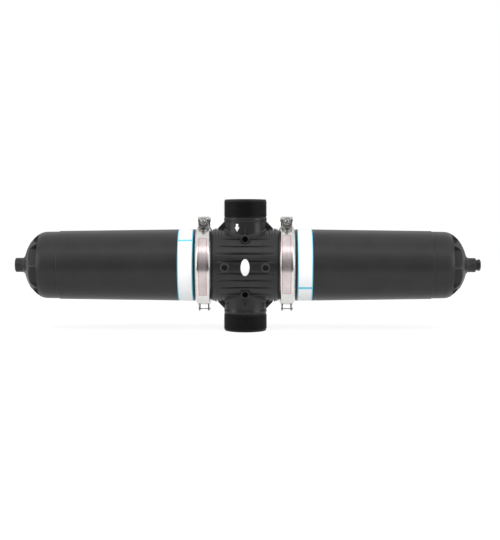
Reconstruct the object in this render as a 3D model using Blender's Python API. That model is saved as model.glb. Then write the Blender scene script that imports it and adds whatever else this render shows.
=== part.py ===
# Twin disc filter: a centre manifold with two threaded ports, and on each side a bowl-shaped
# cover that holds a stack of filter discs and is held on by a two-part V-band clamp.
# Metres, +Z up. The ports' axis is Z, the covers' axis is X, and the front is towards -Y.
import bpy
import bmesh
from math import pi, sin, cos, tan, sqrt, asin, radians, degrees
from mathutils import Vector, Matrix

for old in list(bpy.data.objects):
    bpy.data.objects.remove(old, do_unlink=True)

# Fit
GAP = 0.0003              # clearance where two pieces touch

# Manifold barrel; its radius drives the covers, clamps and seals
BARREL_R = 0.075
BARREL_HALF = 0.0665      # half length of the full-size barrel
BARREL_WALL = 0.0075
CAVITY_R = BARREL_R - BARREL_WALL
GROOVE_R = BARREL_R - 0.003       # turned-down neck beside each flange
FLUTE_W = 0.0022          # long shallow flutes along the barrel
FLUTE_DEPTH = 0.0033
FLUTE_HALF = BARREL_HALF - 0.0045
FLUTE_STEPS = 6
FLUTE_ANGLES = (9.35, 21.35, 34.3, 49.1)

# Ports: 3 inch pipe threads
PORT_HALF = 0.1358        # half the distance from inlet face to outlet face
THREAD_R = 0.04445
THREAD_LEN = 0.031
COLLAR_R = THREAD_R - 0.0004
COLLAR_LEN = 0.009
NECK_R = COLLAR_R - 0.0004
PORT_BORE_R = NECK_R - 0.0058
GUSSET_X = NECK_R + 0.014
GUSSET_Z = BARREL_R + 0.0155
GUSSET_W = 0.005

# Blind bosses on the front: one beside each cover, and one where each neck meets the barrel
BOSS_R = 0.0098
BOSS_FACE = BARREL_R + 0.0025
BOSS_HOLE_R = 0.0056
BOSS_DEPTH = BARREL_WALL
SIDE_BOSS_X = 0.0415
PORT_BOSS_R = 0.0092
PORT_BOSS_Z = sqrt(BARREL_R ** 2 - NECK_R ** 2) - 0.0047
PORT_BOSS_FACE = sqrt(BARREL_R ** 2 - (PORT_BOSS_Z - PORT_BOSS_R) ** 2) + 0.0015
BOSS_RIB_W = 0.0025

# Collector tube and outlet duct inside the manifold
COLLECTOR_BORE_R = 0.031
COLLECTOR_R = COLLECTOR_BORE_R + 0.005
COLLECTOR_HALF = BARREL_HALF - 0.005
DUCT_TOP_Z = 0.006

# V-band clamps: a channel whose flat strip runs round the two flanges
CLAMP_X = BARREL_HALF + 0.0191
CLAMP_R = BARREL_R + 0.0073
CLAMP_FLAT = 0.0128       # half width of the flat middle strip
CLAMP_EDGE_U = 0.0172
CLAMP_EDGE_R = CLAMP_R - 0.0073
SHEET = 0.0015
CLAMP_TOP_ANGLE = 18.5    # each half stops this far from the top
CLAMP_LOW_ANGLE = 2.5

# Clamp hinge at the bottom
HINGE_R = CLAMP_R + 0.0087
HINGE_PIN_R = 0.0014
HINGE_EAR_U = 0.0077
HINGE_FOOT_R = HINGE_R + 0.0048

# Latch at the top, set by where the two halves end
LATCH_HALF_Y = CLAMP_R * sin(radians(CLAMP_TOP_ANGLE))
BOLT_Z = CLAMP_R + 0.0102
BOLT_R = 0.0039
PIVOT_Y = LATCH_HALF_Y - 0.0021
PIVOT_R = 0.003
EYE_R = PIVOT_R + 0.004
EYE_HALF = 0.0085
LUG_T = 0.0022
FORK_FRONT_Y = -LATCH_HALF_Y - 0.0001
FORK_T = 0.0028
FORK_SLOT = BOLT_R + 0.0005
FORK_WALL_U = 0.0085
FORK_TIP_Z = BOLT_Z + 0.0093
WASHER_R = FORK_WALL_U - 0.0006
WASHER_T = 0.0016
NUT_AF = 0.013
NUT_T = 0.0068
BOLT_END_Y = FORK_FRONT_Y - WASHER_T - NUT_T - 0.0084
FOOT_T = 0.002

# Covers
COVER_OPEN_R = BARREL_R - 0.0007  # outside, at the clamp
COVER_WALL = 0.0048
COVER_SEAM_X = 0.384
COVER_SEAM_R = COVER_OPEN_R - 0.0037
END_R = COVER_SEAM_R - 0.0013
END_X = COVER_SEAM_X + 0.025
POCKETS = 8
POCKET_X = END_X + 0.021
POCKET_FLOOR = END_R - 0.0263
POCKET_WALL = 0.0042
DOME_TOP_X = END_X + 0.0495
STUB_R = 0.0146
STUB_END_X = DOME_TOP_X + 0.0185
RIB_HALF = 0.002
RIB_TURN = -2.0
LABEL_INSET = 0.003       # bare cover between the clamp and the label
LABEL_LEN = 0.0309
LABEL_DEPTH = 0.0011

# Seals
SEAL_SECTION = 0.00185
SEAL_R = BARREL_R - 0.0005
SPINE_SEAL_SECTION = 0.0014

# Spine, disc stack, cap and nut, which fill the cover but for the gap that water needs
SPINE_IN_X = COLLECTOR_HALF - 0.016
SPINE_SEAL_X = COLLECTOR_HALF - 0.0095
SPINE_FLANGE_T = 0.0075
SPINE_END_X = COVER_SEAM_X - 0.006
SPINE_ROWS = 2
STUD_R = 0.010
STUD_END_X = SPINE_END_X + 0.0235
WATER_GAP = 0.0078
STACK_R = COVER_SEAM_R - COVER_WALL - WATER_GAP
SPINE_TUBE_R = 0.569 * STACK_R
SPINE_BORE_R = SPINE_TUBE_R - 0.008
STACK_X = COLLECTOR_HALF + GAP + SPINE_FLANGE_T + GAP
STACK_LEN = SPINE_END_X - STACK_X - 0.0129
CAP_T = 0.006
STACK_NUT_T = 0.012
STACK_NUT_R = 0.017

# Drain plug in the right stub
PLUG_THREAD_R = 0.01035
PLUG_IN_X = STUB_END_X - 0.014
PLUG_NECK_R = 0.0079
PLUG_HEAD_X = STUB_END_X + 0.0033
PLUG_END_X = PLUG_HEAD_X + 0.0063
PLUG_AF = 0.0208
PLUG_SEAL_SECTION = 0.0013

SEGMENTS = 32
CORE_SEGMENTS = 18

scene = bpy.context.scene
root = bpy.data.objects.new("twin_disc_filter", None)
scene.collection.objects.link(root)


def material(name, colour, roughness, metallic=0.0):
    mat = bpy.data.materials.new(name)
    mat.use_nodes = True
    shader = mat.node_tree.nodes["Principled BSDF"]
    shader.inputs["Base Color"].default_value = (*colour, 1.0)
    shader.inputs["Roughness"].default_value = roughness
    shader.inputs["Metallic"].default_value = metallic
    return mat


def piece(name, bm, at=(0, 0, 0)):
    """A named object from a bmesh in world coordinates, with its origin at the given point."""
    bmesh.ops.remove_doubles(bm, verts=bm.verts, dist=1e-7)
    bmesh.ops.recalc_face_normals(bm, faces=bm.faces)
    mesh = bpy.data.meshes.new(name)
    bm.to_mesh(mesh)
    bm.free()
    mesh.transform(Matrix.Translation(-Vector(at)))
    obj = bpy.data.objects.new(name, mesh)
    scene.collection.objects.link(obj)
    obj.location = at
    return obj


def finish(obj, mat):
    obj.data.materials.clear()
    obj.data.materials.append(mat)
    obj.data.shade_smooth()
    obj.data.set_sharp_from_angle(angle=radians(32))
    obj.parent = root
    return obj


def combine(obj, tools, operation):
    """Boolean of obj with each tool in turn, kept in obj's own mesh."""
    for tool in tools:
        step = obj.modifiers.new(tool.name, "BOOLEAN")
        step.object = tool
        step.operation = operation
        step.solver = "EXACT"
    bpy.context.view_layer.update()
    graph = bpy.context.evaluated_depsgraph_get()
    mesh = bpy.data.meshes.new_from_object(obj.evaluated_get(graph))
    obj.modifiers.clear()
    obj.data = mesh
    for tool in tools:
        bpy.data.objects.remove(tool, do_unlink=True)
    return obj


def turned(profile, axis="X", segments=SEGMENTS, start=0.0, sweep=2 * pi, closed=True):
    """Solid turned about an axis through the origin from points (along the axis, radius).

    A part turn starts at the given angle from the top towards the front."""
    bm = bmesh.new()
    if axis == "X":
        points = [(a, -r * sin(start), r * cos(start)) for a, r in profile]
        line = (1, 0, 0)
    elif axis == "Y":
        points = [(r * cos(start), a, -r * sin(start)) for a, r in profile]
        line = (0, 1, 0)
    else:
        points = [(r * cos(start), r * sin(start), a) for a, r in profile]
        line = (0, 0, 1)
    verts = [bm.verts.new(p) for p in points]
    count = len(verts)
    edges = [bm.edges.new((verts[i], verts[(i + 1) % count]))
             for i in range(count if closed else count - 1)]
    full = abs(sweep - 2 * pi) < 1e-9
    bmesh.ops.spin(bm, geom=verts + edges, cent=(0, 0, 0), axis=line, angle=sweep,
                   steps=segments, use_merge=full)
    bmesh.ops.remove_doubles(bm, verts=bm.verts, dist=1e-7)
    if not full:
        rims = [e for e in bm.edges if e.is_boundary]
        bmesh.ops.holes_fill(bm, edges=rims, sides=0)
    return bm


def moved(bm, matrix):
    bmesh.ops.transform(bm, matrix=matrix, verts=bm.verts)
    return bm


def rod(radius, a, b, axis="X", centre=(0, 0), segments=24, start=0.05):
    """Cylinder from a to b along an axis; centre gives the other two coordinates in order."""
    bm = turned([(a, 0), (a, radius), (b, radius), (b, 0)], axis, segments, start, closed=False)
    other = [0.0, 0.0, 0.0]
    rest = [i for i in range(3) if i != "XYZ".index(axis)]
    other[rest[0]], other[rest[1]] = centre
    return moved(bm, Matrix.Translation(other))


def slab(outline, a, b, axis):
    """Prism of a flat outline, given in the other two coordinates in order, from a to b."""
    bm = bmesh.new()
    k = "XYZ".index(axis)
    rest = [i for i in range(3) if i != k]
    verts = []
    for p, q in outline:
        co = [0.0, 0.0, 0.0]
        co[k], co[rest[0]], co[rest[1]] = a, p, q
        verts.append(bm.verts.new(co))
    face = bm.faces.new(verts)
    push = bmesh.ops.extrude_face_region(bm, geom=[face])
    step = [0.0, 0.0, 0.0]
    step[k] = b - a
    moving = [v for v in push["geom"] if isinstance(v, bmesh.types.BMVert)]
    bmesh.ops.translate(bm, vec=step, verts=moving)
    bm.faces.ensure_lookup_table()
    if not any(f for f in bm.faces if set(f.verts) == set(verts)):
        bm.faces.new(verts)
    return bm


def box(x0, x1, y0, y1, z0, z1):
    return slab([(y0, z0), (y1, z0), (y1, z1), (y0, z1)], x0, x1, "X")


def ring(major, minor, x, segments=40, start=0.0, around=5):
    """O-ring about the X axis; its section is a polygon a little inside the circle's corners."""
    swell = 1.08
    loop = [(x + swell * minor * cos(2 * pi * (i + 0.5) / around),
             major + swell * minor * sin(2 * pi * (i + 0.5) / around)) for i in range(around)]
    return turned(loop, "X", segments, start=start)


def outward(side):
    """Turns a right-hand piece into its place on the given side, about the front-to-back axis."""
    return Matrix.Identity(4) if side > 0 else Matrix.Rotation(pi, 4, "Y")


# The V of the clamp: the sheet's slope, and the same slope moved inwards by a distance t
slope = Vector((CLAMP_EDGE_U - CLAMP_FLAT, CLAMP_EDGE_R - CLAMP_R)).normalized()
inwards = Vector((slope.y, -slope.x))


def slope_at(radius, t):
    start = Vector((CLAMP_FLAT, CLAMP_R)) + inwards * t
    return start.x + slope.x * (radius - start.y) / slope.y


FLANGE_R = CLAMP_R - SHEET - GAP
FLANGE_FACE = CLAMP_X - GAP / 2          # the manifold's flange ends half a gap before the middle
FLANGE_U = slope_at(FLANGE_R, SHEET + GAP)
FLANGE_ROOT_U = slope_at(GROOVE_R, SHEET + GAP)

plastic = material("moulded_black_plastic", (0.055, 0.055, 0.058), 0.55)
film = material("white_printed_film", (0.86, 0.88, 0.90), 0.35)
rubber = material("black_rubber", (0.02, 0.02, 0.02), 0.7)
steel = material("polished_stainless_sheet", (0.74, 0.73, 0.71), 0.22, 1.0)
bright = material("machined_stainless", (0.66, 0.66, 0.65), 0.3, 1.0)
disc_red = material("filter_disc_plastic", (0.55, 0.05, 0.04), 0.5)
core_grey = material("core_plastic", (0.09, 0.09, 0.095), 0.5)

# Manifold body
# The barrel is turned as a tube with a flange at each end and a seal groove in each flange face
groove_in, groove_out = SEAL_R - SEAL_SECTION - GAP, SEAL_R + SEAL_SECTION + GAP
groove_floor = FLANGE_FACE - 2 * SEAL_SECTION - GAP
half = [(BARREL_HALF - 0.0006, BARREL_R), (BARREL_HALF, BARREL_R - 0.0006),
        (BARREL_HALF, GROOVE_R), (CLAMP_X - FLANGE_ROOT_U, GROOVE_R),
        (CLAMP_X - FLANGE_U, FLANGE_R), (FLANGE_FACE, FLANGE_R), (FLANGE_FACE, groove_out),
        (groove_floor, groove_out), (groove_floor, groove_in), (FLANGE_FACE, groove_in),
        (FLANGE_FACE, CAVITY_R)]
mirrored = [(-x, r) for x, r in reversed(half)]
manifold = piece("manifold_body", turned(mirrored + half, "X", SEGMENTS, start=pi / SEGMENTS))

# Flutes: a thin disc dips into the barrel, deepest in the middle and fading out at its ends
flute_r = (FLUTE_HALF ** 2 + FLUTE_DEPTH ** 2) / (2 * FLUTE_DEPTH)
reach = FLUTE_HALF * 1.12
arc = []
for i in range(FLUTE_STEPS + 1):
    x = reach * (2 * i / FLUTE_STEPS - 1)
    arc.append((x, -(BARREL_R - FLUTE_DEPTH + flute_r - sqrt(flute_r ** 2 - x ** 2))))
arc += [(reach, -BARREL_R - 0.004), (-reach, -BARREL_R - 0.004)]
flutes = []
for angle in FLUTE_ANGLES:
    for lift in (angle, -angle, 180 - angle, angle - 180):
        prism = slab(arc, -FLUTE_W / 2, FLUTE_W / 2, "Z")
        flutes.append(piece("flute", moved(prism, Matrix.Rotation(radians(-lift), 4, "X"))))
combine(manifold, flutes, "DIFFERENCE")

# Ports: the outlet neck runs on inside as the duct that meets the collector tube
collar_z = PORT_HALF - THREAD_LEN
neck_z = collar_z - COLLAR_LEN
port = [(neck_z, NECK_R), (neck_z + 0.0004, COLLAR_R), (collar_z - 0.0012, COLLAR_R),
        (collar_z - 0.0006, THREAD_R - 0.0014), (collar_z + 0.0006, THREAD_R),
        (PORT_HALF - 0.0018, THREAD_R), (PORT_HALF, THREAD_R - 0.0018), (PORT_HALF, 0.0)]
adds = []
for up, inner_z in ((1, CAVITY_R - 0.0175), (-1, DUCT_TOP_Z)):
    profile = [(up * z, r) for z, r in [(inner_z, 0.0), (inner_z, NECK_R)] + port]
    adds.append(piece("port", turned(profile, "Z", SEGMENTS, pi / SEGMENTS, closed=False)))
adds.append(piece("tube", rod(COLLECTOR_R, -COLLECTOR_HALF, COLLECTOR_HALF, "X", segments=32,
                              start=0.0)))

core_r = (CAVITY_R + BARREL_R) / 2
for up in (1, -1):
    for side in (1, -1):
        inner = NECK_R - 0.004
        web = [(side * inner, up * core_r), (side * GUSSET_X, up * core_r),
               (side * GUSSET_X, up * (BARREL_R + 0.0008)), (side * NECK_R, up * GUSSET_Z),
               (side * inner, up * GUSSET_Z)]
        adds.append(piece("gusset", slab(web, -GUSSET_W / 2, GUSSET_W / 2, "Y")))
    rim, front, back = PORT_BOSS_Z + PORT_BOSS_R, -PORT_BOSS_FACE + 0.0015, -NECK_R + 0.004
    rib_top = up * (BARREL_R + 0.004)
    rib = [(front, up * (rim - 0.002)), (front, up * (rim + 0.0005)), (-NECK_R - 0.0004, rib_top),
           (back, rib_top), (back, up * PORT_BOSS_Z)]
    adds.append(piece("boss_rib", slab(rib, -BOSS_RIB_W / 2, BOSS_RIB_W / 2, "X")))

# Each boss: its place, its radius, its face and how deep its root lies in the wall, both towards the front
bosses = [(side * SIDE_BOSS_X, 0.0, BOSS_R, BOSS_FACE, core_r) for side in (1, -1)]
bosses += [(0.0, up * PORT_BOSS_Z, PORT_BOSS_R, PORT_BOSS_FACE, NECK_R - 0.0025) for up in (1, -1)]
holes = []
for x, z, radius, face, depth in bosses:
    to_place = Matrix.Translation((x, 0, z))
    outer = [(-face, 0), (-face, radius - 0.0008), (-face + 0.0008, radius), (-depth, radius), (-depth, 0)]
    adds.append(piece("boss", moved(turned(outer, "Y", 16, closed=False), to_place)))
    hole = rod(BOSS_HOLE_R, -face - 0.002, -face + BOSS_DEPTH, "Y", segments=16)
    holes.append(piece("boss_hole", moved(hole, to_place)))
combine(manifold, adds, "UNION")

# Bores, and the inlet neck's inner end cut back to the wall of the raw water chamber
reach = COLLECTOR_HALF + 0.004
chamber_half = NECK_R + 0.0027
chamber = piece("chamber", rod(CAVITY_R - 0.0002, -chamber_half, chamber_half, "X", segments=SEGMENTS))
ceiling = COLLECTOR_R + 0.0045
combine(chamber, [piece("upper", box(-GUSSET_X, GUSSET_X, -BARREL_R, BARREL_R, ceiling, BARREL_R))],
        "INTERSECT")
cuts = [chamber,
        piece("collector_bore", rod(COLLECTOR_BORE_R, -reach, reach, "X", segments=32)),
        piece("inlet_bore", rod(PORT_BORE_R, COLLECTOR_R + 0.006, PORT_HALF + 0.01, "Z",
                                segments=32)),
        piece("outlet_bore", rod(PORT_BORE_R, -PORT_HALF - 0.01, DUCT_TOP_Z - 0.026, "Z", segments=32))]
combine(manifold, cuts + holes, "DIFFERENCE")
finish(manifold, plastic)


# One end of the filter: cover, label sleeve, seals, spine, disc stack, cap and nut
def cover(side, name):
    open_x = CLAMP_X + GAP / 2
    shoulder_x = CLAMP_X + CLAMP_EDGE_U + 0.0007
    label_x0 = shoulder_x + LABEL_INSET
    label_x1 = label_x0 + LABEL_LEN + 2 * GAP
    draft = (COVER_OPEN_R - COVER_SEAM_R) / (COVER_SEAM_X - shoulder_x)

    def skin(x):
        return COVER_OPEN_R - draft * (x - shoulder_x)

    inner_open = COVER_OPEN_R - LABEL_DEPTH - COVER_WALL
    outer = [(open_x, FLANGE_R), (CLAMP_X + FLANGE_U, FLANGE_R), (CLAMP_X + FLANGE_ROOT_U, GROOVE_R),
             (shoulder_x, GROOVE_R), (shoulder_x, COVER_OPEN_R - 0.0004), (shoulder_x + 0.0004, COVER_OPEN_R),
             (label_x0, skin(label_x0)), (label_x0, skin(label_x0) - LABEL_DEPTH),
             (label_x1, skin(label_x1) - LABEL_DEPTH), (label_x1, skin(label_x1)),
             (COVER_SEAM_X, COVER_SEAM_R), (COVER_SEAM_X + 0.0008, END_R), (END_X, END_R - 0.0003)]
    # The dome is a rounded shoulder that runs into a flatter cone-like crown
    bulge = DOME_TOP_X - END_X
    for t in (0.16, 0.34, 0.55, 0.74, 0.87, 0.955):
        outer.append((END_X + bulge * t, (END_R - 0.0003) * (1 - t ** 2.05) ** 0.56))
    outer += [(DOME_TOP_X + 0.0005, STUB_R + 0.0014), (DOME_TOP_X + 0.003, STUB_R),
              (STUB_END_X - 0.0018, STUB_R), (STUB_END_X, STUB_R - 0.0018)]
    floor_in = POCKET_FLOOR - POCKET_WALL
    inner = [(POCKET_X - POCKET_WALL, floor_in), (POCKET_X - POCKET_WALL, floor_in + 0.012),
             (END_X + 0.004, END_R - COVER_WALL - 0.003), (END_X - 0.010, END_R - COVER_WALL),
             (open_x, inner_open)]
    crown = [(DOME_TOP_X - 0.0055, 0.0165), (POCKET_X + 0.0105, floor_in)]
    if side > 0:
        bore = [(STUB_END_X, PLUG_THREAD_R + GAP), (DOME_TOP_X - 0.005, PLUG_THREAD_R + GAP)]
        profile = outer + bore + crown + inner
        body = piece(name, turned(profile, "X", SEGMENTS))
    else:
        blind = [(STUB_END_X, 0.0)]
        core = [(STUB_END_X - 0.006, 0.0), (STUB_END_X - 0.006, 0.0075), (DOME_TOP_X - 0.005, 0.009)]
        # From the inner end of the blind core round the wall to the stub's outer face
        profile = core + crown + inner + outer + blind
        body = piece(name, turned(profile, "X", SEGMENTS, closed=False))
    wedges = []
    grow = tan(pi / POCKETS)
    trim = RIB_HALF / cos(pi / POCKETS)
    far = POCKET_FLOOR + 0.03
    near_half, far_half = POCKET_FLOOR * grow - trim, far * grow - trim
    for i in range(POCKETS):
        wedge = slab([(-POCKET_FLOOR, -near_half), (-POCKET_FLOOR, near_half),
                      (-far, far_half), (-far, -far_half)], POCKET_X, STUB_END_X, "X")
        turn = radians(RIB_TURN + 360 * (i + 0.5) / POCKETS)
        wedges.append(piece("pocket", moved(wedge, Matrix.Rotation(-turn, 4, "X"))))
    combine(body, wedges, "DIFFERENCE")
    body.data.transform(outward(side))
    finish(body, plastic)

    base, end = label_x0 + GAP, label_x0 + GAP + LABEL_LEN
    sleeve = [(base, skin(base) - LABEL_DEPTH + GAP), (base, skin(base) + 0.0001),
              (end, skin(end) + 0.0001), (end, skin(end) - LABEL_DEPTH + GAP)]
    label = piece(name.replace("cover", "label_sleeve"), turned(sleeve, "X", SEGMENTS))
    label.data.transform(outward(side))
    finish(label, film)


def seals(side, name):
    x = FLANGE_FACE - SEAL_SECTION
    big = piece(name + "_cover_seal", ring(SEAL_R, SEAL_SECTION, x, SEGMENTS, pi / SEGMENTS))
    small = piece(name + "_spine_seal", ring(COLLECTOR_BORE_R - GAP - SPINE_SEAL_SECTION,
                                             SPINE_SEAL_SECTION, SPINE_SEAL_X, CORE_SEGMENTS))
    for obj in (big, small):
        obj.data.transform(outward(side))
        finish(obj, rubber)


def disc_element(side, name):
    flange_x = COLLECTOR_HALF + GAP
    stack_x = flange_x + SPINE_FLANGE_T
    spigot_r = COLLECTOR_BORE_R - GAP
    slot_bottom = spigot_r - 2 * SPINE_SEAL_SECTION - GAP
    a, b = SPINE_SEAL_X - SPINE_SEAL_SECTION - GAP, SPINE_SEAL_X + SPINE_SEAL_SECTION + GAP
    wall_x = SPINE_END_X - 0.005
    core = [(SPINE_IN_X, SPINE_BORE_R), (SPINE_IN_X, spigot_r), (a, spigot_r), (a, slot_bottom),
            (b, slot_bottom), (b, spigot_r), (flange_x, spigot_r), (flange_x, STACK_R),
            (stack_x, STACK_R), (stack_x, SPINE_TUBE_R), (SPINE_END_X, SPINE_TUBE_R),
            (SPINE_END_X, STUD_R), (STUD_END_X, STUD_R), (STUD_END_X, 0.0)]
    spine = piece(name + "_spine", turned([(wall_x, 0.0), (wall_x, SPINE_BORE_R)] + core, "X",
                                          CORE_SEGMENTS, closed=False))
    windows = []
    across, slot_half = SPINE_TUBE_R + 0.007, 0.18 * SPINE_TUBE_R
    span = (wall_x - stack_x - 0.02) / SPINE_ROWS
    for row in range(SPINE_ROWS):
        x0 = stack_x + 0.010 + row * span
        for i in range(3):
            bar = box(x0 + 0.005, x0 + span - 0.005, -across, across, -slot_half, slot_half)
            windows.append(piece("window", moved(bar, Matrix.Rotation(pi * (i + 0.5) / 3, 4, "X"))))
    combine(spine, windows, "DIFFERENCE")

    start, stop = STACK_X, STACK_X + STACK_LEN
    rings = [(start, SPINE_TUBE_R + GAP), (start, STACK_R - 0.001), (start + 0.001, STACK_R)]
    notches = 2
    for i in range(1, notches + 1):
        x = start + STACK_LEN * i / (notches + 1)
        rings += [(x - 0.0008, STACK_R), (x, STACK_R - 0.0015), (x + 0.0008, STACK_R)]
    rings += [(stop - 0.001, STACK_R), (stop, STACK_R - 0.001), (stop, SPINE_TUBE_R + GAP)]
    stack = piece(name + "_disc_stack", turned(rings, "X", CORE_SEGMENTS))

    cap_x = stop + GAP
    plate_x = max(cap_x + CAP_T, SPINE_END_X + GAP)
    neck = SPINE_TUBE_R + 0.006
    plate = [(cap_x, SPINE_TUBE_R + GAP), (cap_x, STACK_R), (cap_x + CAP_T, STACK_R),
             (cap_x + CAP_T + 0.002, neck), (plate_x + CAP_T, neck), (plate_x + CAP_T, STUD_R + GAP),
             (plate_x, STUD_R + GAP), (plate_x, SPINE_TUBE_R + GAP)]
    cap = piece(name + "_stack_cap", turned(plate, "X", CORE_SEGMENTS))

    nut_x = plate_x + CAP_T + GAP
    hub = [(nut_x, STUD_R + GAP), (nut_x, STACK_NUT_R), (nut_x + STACK_NUT_T, STACK_NUT_R - 0.002),
           (nut_x + STACK_NUT_T, STUD_R + GAP)]
    nut = piece(name + "_stack_nut", turned(hub, "X", 16))
    wings = [piece("wing", box(nut_x, nut_x + STACK_NUT_T - 0.002, -0.003, 0.003,
                               up * (STUD_R + 0.003), up * (STACK_NUT_R + 0.014)))
             for up in (1, -1)]
    combine(nut, wings, "UNION")
    for obj, mat in ((spine, core_grey), (stack, disc_red), (cap, core_grey), (nut, core_grey)):
        obj.data.transform(outward(side))
        finish(obj, mat)


# One clamp: two channel halves, hinge pin, latch fork, eye bracket, pivot pin and swing bolt
def channel():
    tip = Vector((CLAMP_EDGE_U, CLAMP_EDGE_R)) + inwards * SHEET
    flat = slope_at(CLAMP_R - SHEET, SHEET)
    right = [(CLAMP_FLAT, CLAMP_R), (CLAMP_EDGE_U, CLAMP_EDGE_R), (tip.x, tip.y),
             (flat, CLAMP_R - SHEET)]
    left = [(-u, r) for u, r in reversed(right)]
    return right + left


def arc_plate(half_width, a0, a1, r0, r1, point=0.0, steps=6):
    """Sheet that lies on the band from angle a0 to a1; its far end can narrow to a point."""
    bm = turned([(-half_width, r0), (-half_width, r1), (half_width, r1), (half_width, r0)],
                "X", steps, start=radians(a0), sweep=radians(a1 - a0))
    if point:
        for v in bm.verts:
            angle = Vector((-v.co.y, v.co.z)).angle(Vector((0, 1)))
            t = (angle - radians(a0)) / radians(a1 - a0)
            if t > point:
                v.co.x *= max(0.12, 1 - (t - point) / (1 - point))
    return bm


def clamp(side, name):
    x = side * CLAMP_X
    to_place = Matrix.Translation((x, 0, 0))
    top, low = radians(CLAMP_TOP_ANGLE), radians(CLAMP_LOW_ANGLE)
    foot_r = CLAMP_R + GAP
    foot_top = foot_r + FOOT_T

    for half_name, front in (("front", 1), ("rear", -1)):
        bm = turned(channel(), "X", 20, start=top, sweep=pi - top - low)
        band = piece(name + "_clamp_" + half_name, bm)
        inner_u = HINGE_EAR_U + (SHEET + GAP if front > 0 else 0)
        ears = []
        for k in (1, -1):
            shape = [(-0.0125, -CLAMP_R + 0.0017), (-0.0128, -CLAMP_R - 0.0015), (-0.0035, -HINGE_FOOT_R),
                     (0.0022, -HINGE_FOOT_R + 0.0022), (0.0030, -HINGE_R), (0.0022, -HINGE_R + 0.0034),
                     (-0.0042, -CLAMP_R + 0.0005)]
            a, b = k * inner_u, k * (inner_u + SHEET)
            ears.append(piece("ear", slab(shape, min(a, b), max(a, b), "X")))
        combine(band, ears, "UNION")
        combine(band, [piece("pin_hole", rod(HINGE_PIN_R + GAP, -0.02, 0.02, "X", (0, -HINGE_R), 12))],
                "DIFFERENCE")
        if front < 0:
            band.data.transform(Matrix.Rotation(pi, 4, "Z"))
        band.data.transform(to_place)
        finish(band, steel)

    pin_half = HINGE_EAR_U + 2 * SHEET + 2 * GAP + 0.0008
    pin = [(-pin_half, 0), (-pin_half, HINGE_PIN_R), (pin_half - 0.0004, HINGE_PIN_R),
           (pin_half - 0.0004, HINGE_PIN_R + 0.0009), (pin_half + 0.001, HINGE_PIN_R + 0.0007),
           (pin_half + 0.001, 0)]
    bm = moved(turned(pin, "X", 12, closed=False), Matrix.Translation((x, 0, -HINGE_R)))
    finish(piece(name + "_hinge_pin", bm, (x, 0, -HINGE_R)), bright)

    # Fork: a foot on the band, a bearing wall with an open slot, and a side wall beyond each edge
    back_y = FORK_FRONT_Y + FORK_T
    wall_low = sqrt(foot_r ** 2 - back_y ** 2) + 0.0003
    u = FORK_WALL_U
    tine = BOLT_Z + 0.0042
    slot = [(FORK_SLOT * cos(pi * i / 8), BOLT_Z - FORK_SLOT * sin(pi * i / 8)) for i in range(9)]
    wall = ([(-u, wall_low), (u, wall_low), (u, tine + 0.001), (u - 0.0006, tine), (FORK_SLOT, tine)]
            + slot + [(-FORK_SLOT, tine), (-u + 0.0006, tine), (-u, tine + 0.001)])
    fork = piece(name + "_latch_fork", slab(wall, FORK_FRONT_Y, back_y, "Y"))
    parts = []
    for k in (1, -1):
        cheek = [(FORK_FRONT_Y - 0.0062, BOLT_Z - 0.0045), (FORK_FRONT_Y - 0.0062, BOLT_Z + 0.0045),
                 (FORK_FRONT_Y - 0.0030, FORK_TIP_Z), (back_y - 0.0004, FORK_TIP_Z - 0.0035),
                 (back_y, wall_low), (FORK_FRONT_Y - 0.0004, wall_low)]
        bm = slab(cheek, k * (u - 0.0002), k * (u + 0.0020), "X")
        for v in bm.verts:
            # The cheeks flare outwards above the bolt
            v.co.x += k * max(0.0, v.co.z - BOLT_Z + 0.002) * 0.08
        parts.append(piece("cheek", bm))
    a0 = degrees(asin(-(FORK_FRONT_Y + 0.001) / foot_r))
    parts.append(piece("foot", arc_plate(CLAMP_FLAT - 0.0005, a0, CLAMP_TOP_ANGLE + 12.5, foot_r, foot_top,
                                         0.25)))
    combine(fork, parts, "UNION")
    fork.data.transform(to_place)
    finish(fork, steel)

    # Eye bracket: a foot on the rear half and two lugs
    lug_u = EYE_HALF + 0.0007
    bracket = piece(name + "_eye_bracket",
                    arc_plate(lug_u + LUG_T, CLAMP_TOP_ANGLE + 0.4, CLAMP_TOP_ANGLE + 15, foot_r, foot_top))
    bracket.data.transform(Matrix.Rotation(pi, 4, "Z"))
    lugs = []
    for k in (1, -1):
        near, far = radians(CLAMP_TOP_ANGLE + 0.8), radians(CLAMP_TOP_ANGLE + 13)
        mid = foot_r + FOOT_T / 2
        shape = [(mid * sin(near), mid * cos(near)), (PIVOT_Y - 0.006, BOLT_Z - 0.003),
                 (PIVOT_Y - 0.0055, BOLT_Z + 0.003), (PIVOT_Y - 0.002, BOLT_Z + 0.006),
                 (PIVOT_Y + 0.003, BOLT_Z + 0.0055), (PIVOT_Y + 0.0065, BOLT_Z + 0.001),
                 (mid * sin(far), mid * cos(far)), (mid * sin((near + far) / 2), mid * cos((near + far) / 2))]
        a, b = k * lug_u, k * (lug_u + LUG_T)
        lugs.append(piece("lug", slab(shape, min(a, b), max(a, b), "X")))
    combine(bracket, lugs, "UNION")
    combine(bracket, [piece("hole", rod(PIVOT_R + GAP, -0.02, 0.02, "X", (PIVOT_Y, BOLT_Z), 16))],
            "DIFFERENCE")
    bracket.data.transform(to_place)
    finish(bracket, steel)

    reach = lug_u + LUG_T + GAP
    pin = [(-reach - 0.0014, 0), (-reach - 0.0014, PIVOT_R + 0.0010), (-reach, PIVOT_R + 0.0014),
           (-reach, PIVOT_R), (reach + 0.0012, PIVOT_R), (reach + 0.0018, PIVOT_R - 0.0006),
           (reach + 0.0018, 0)]
    pivot = (x, PIVOT_Y, BOLT_Z)
    finish(piece(name + "_pivot_pin", moved(turned(pin, "X", 14, closed=False),
                                            Matrix.Translation(pivot) @ outward(side)), pivot), bright)

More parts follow.
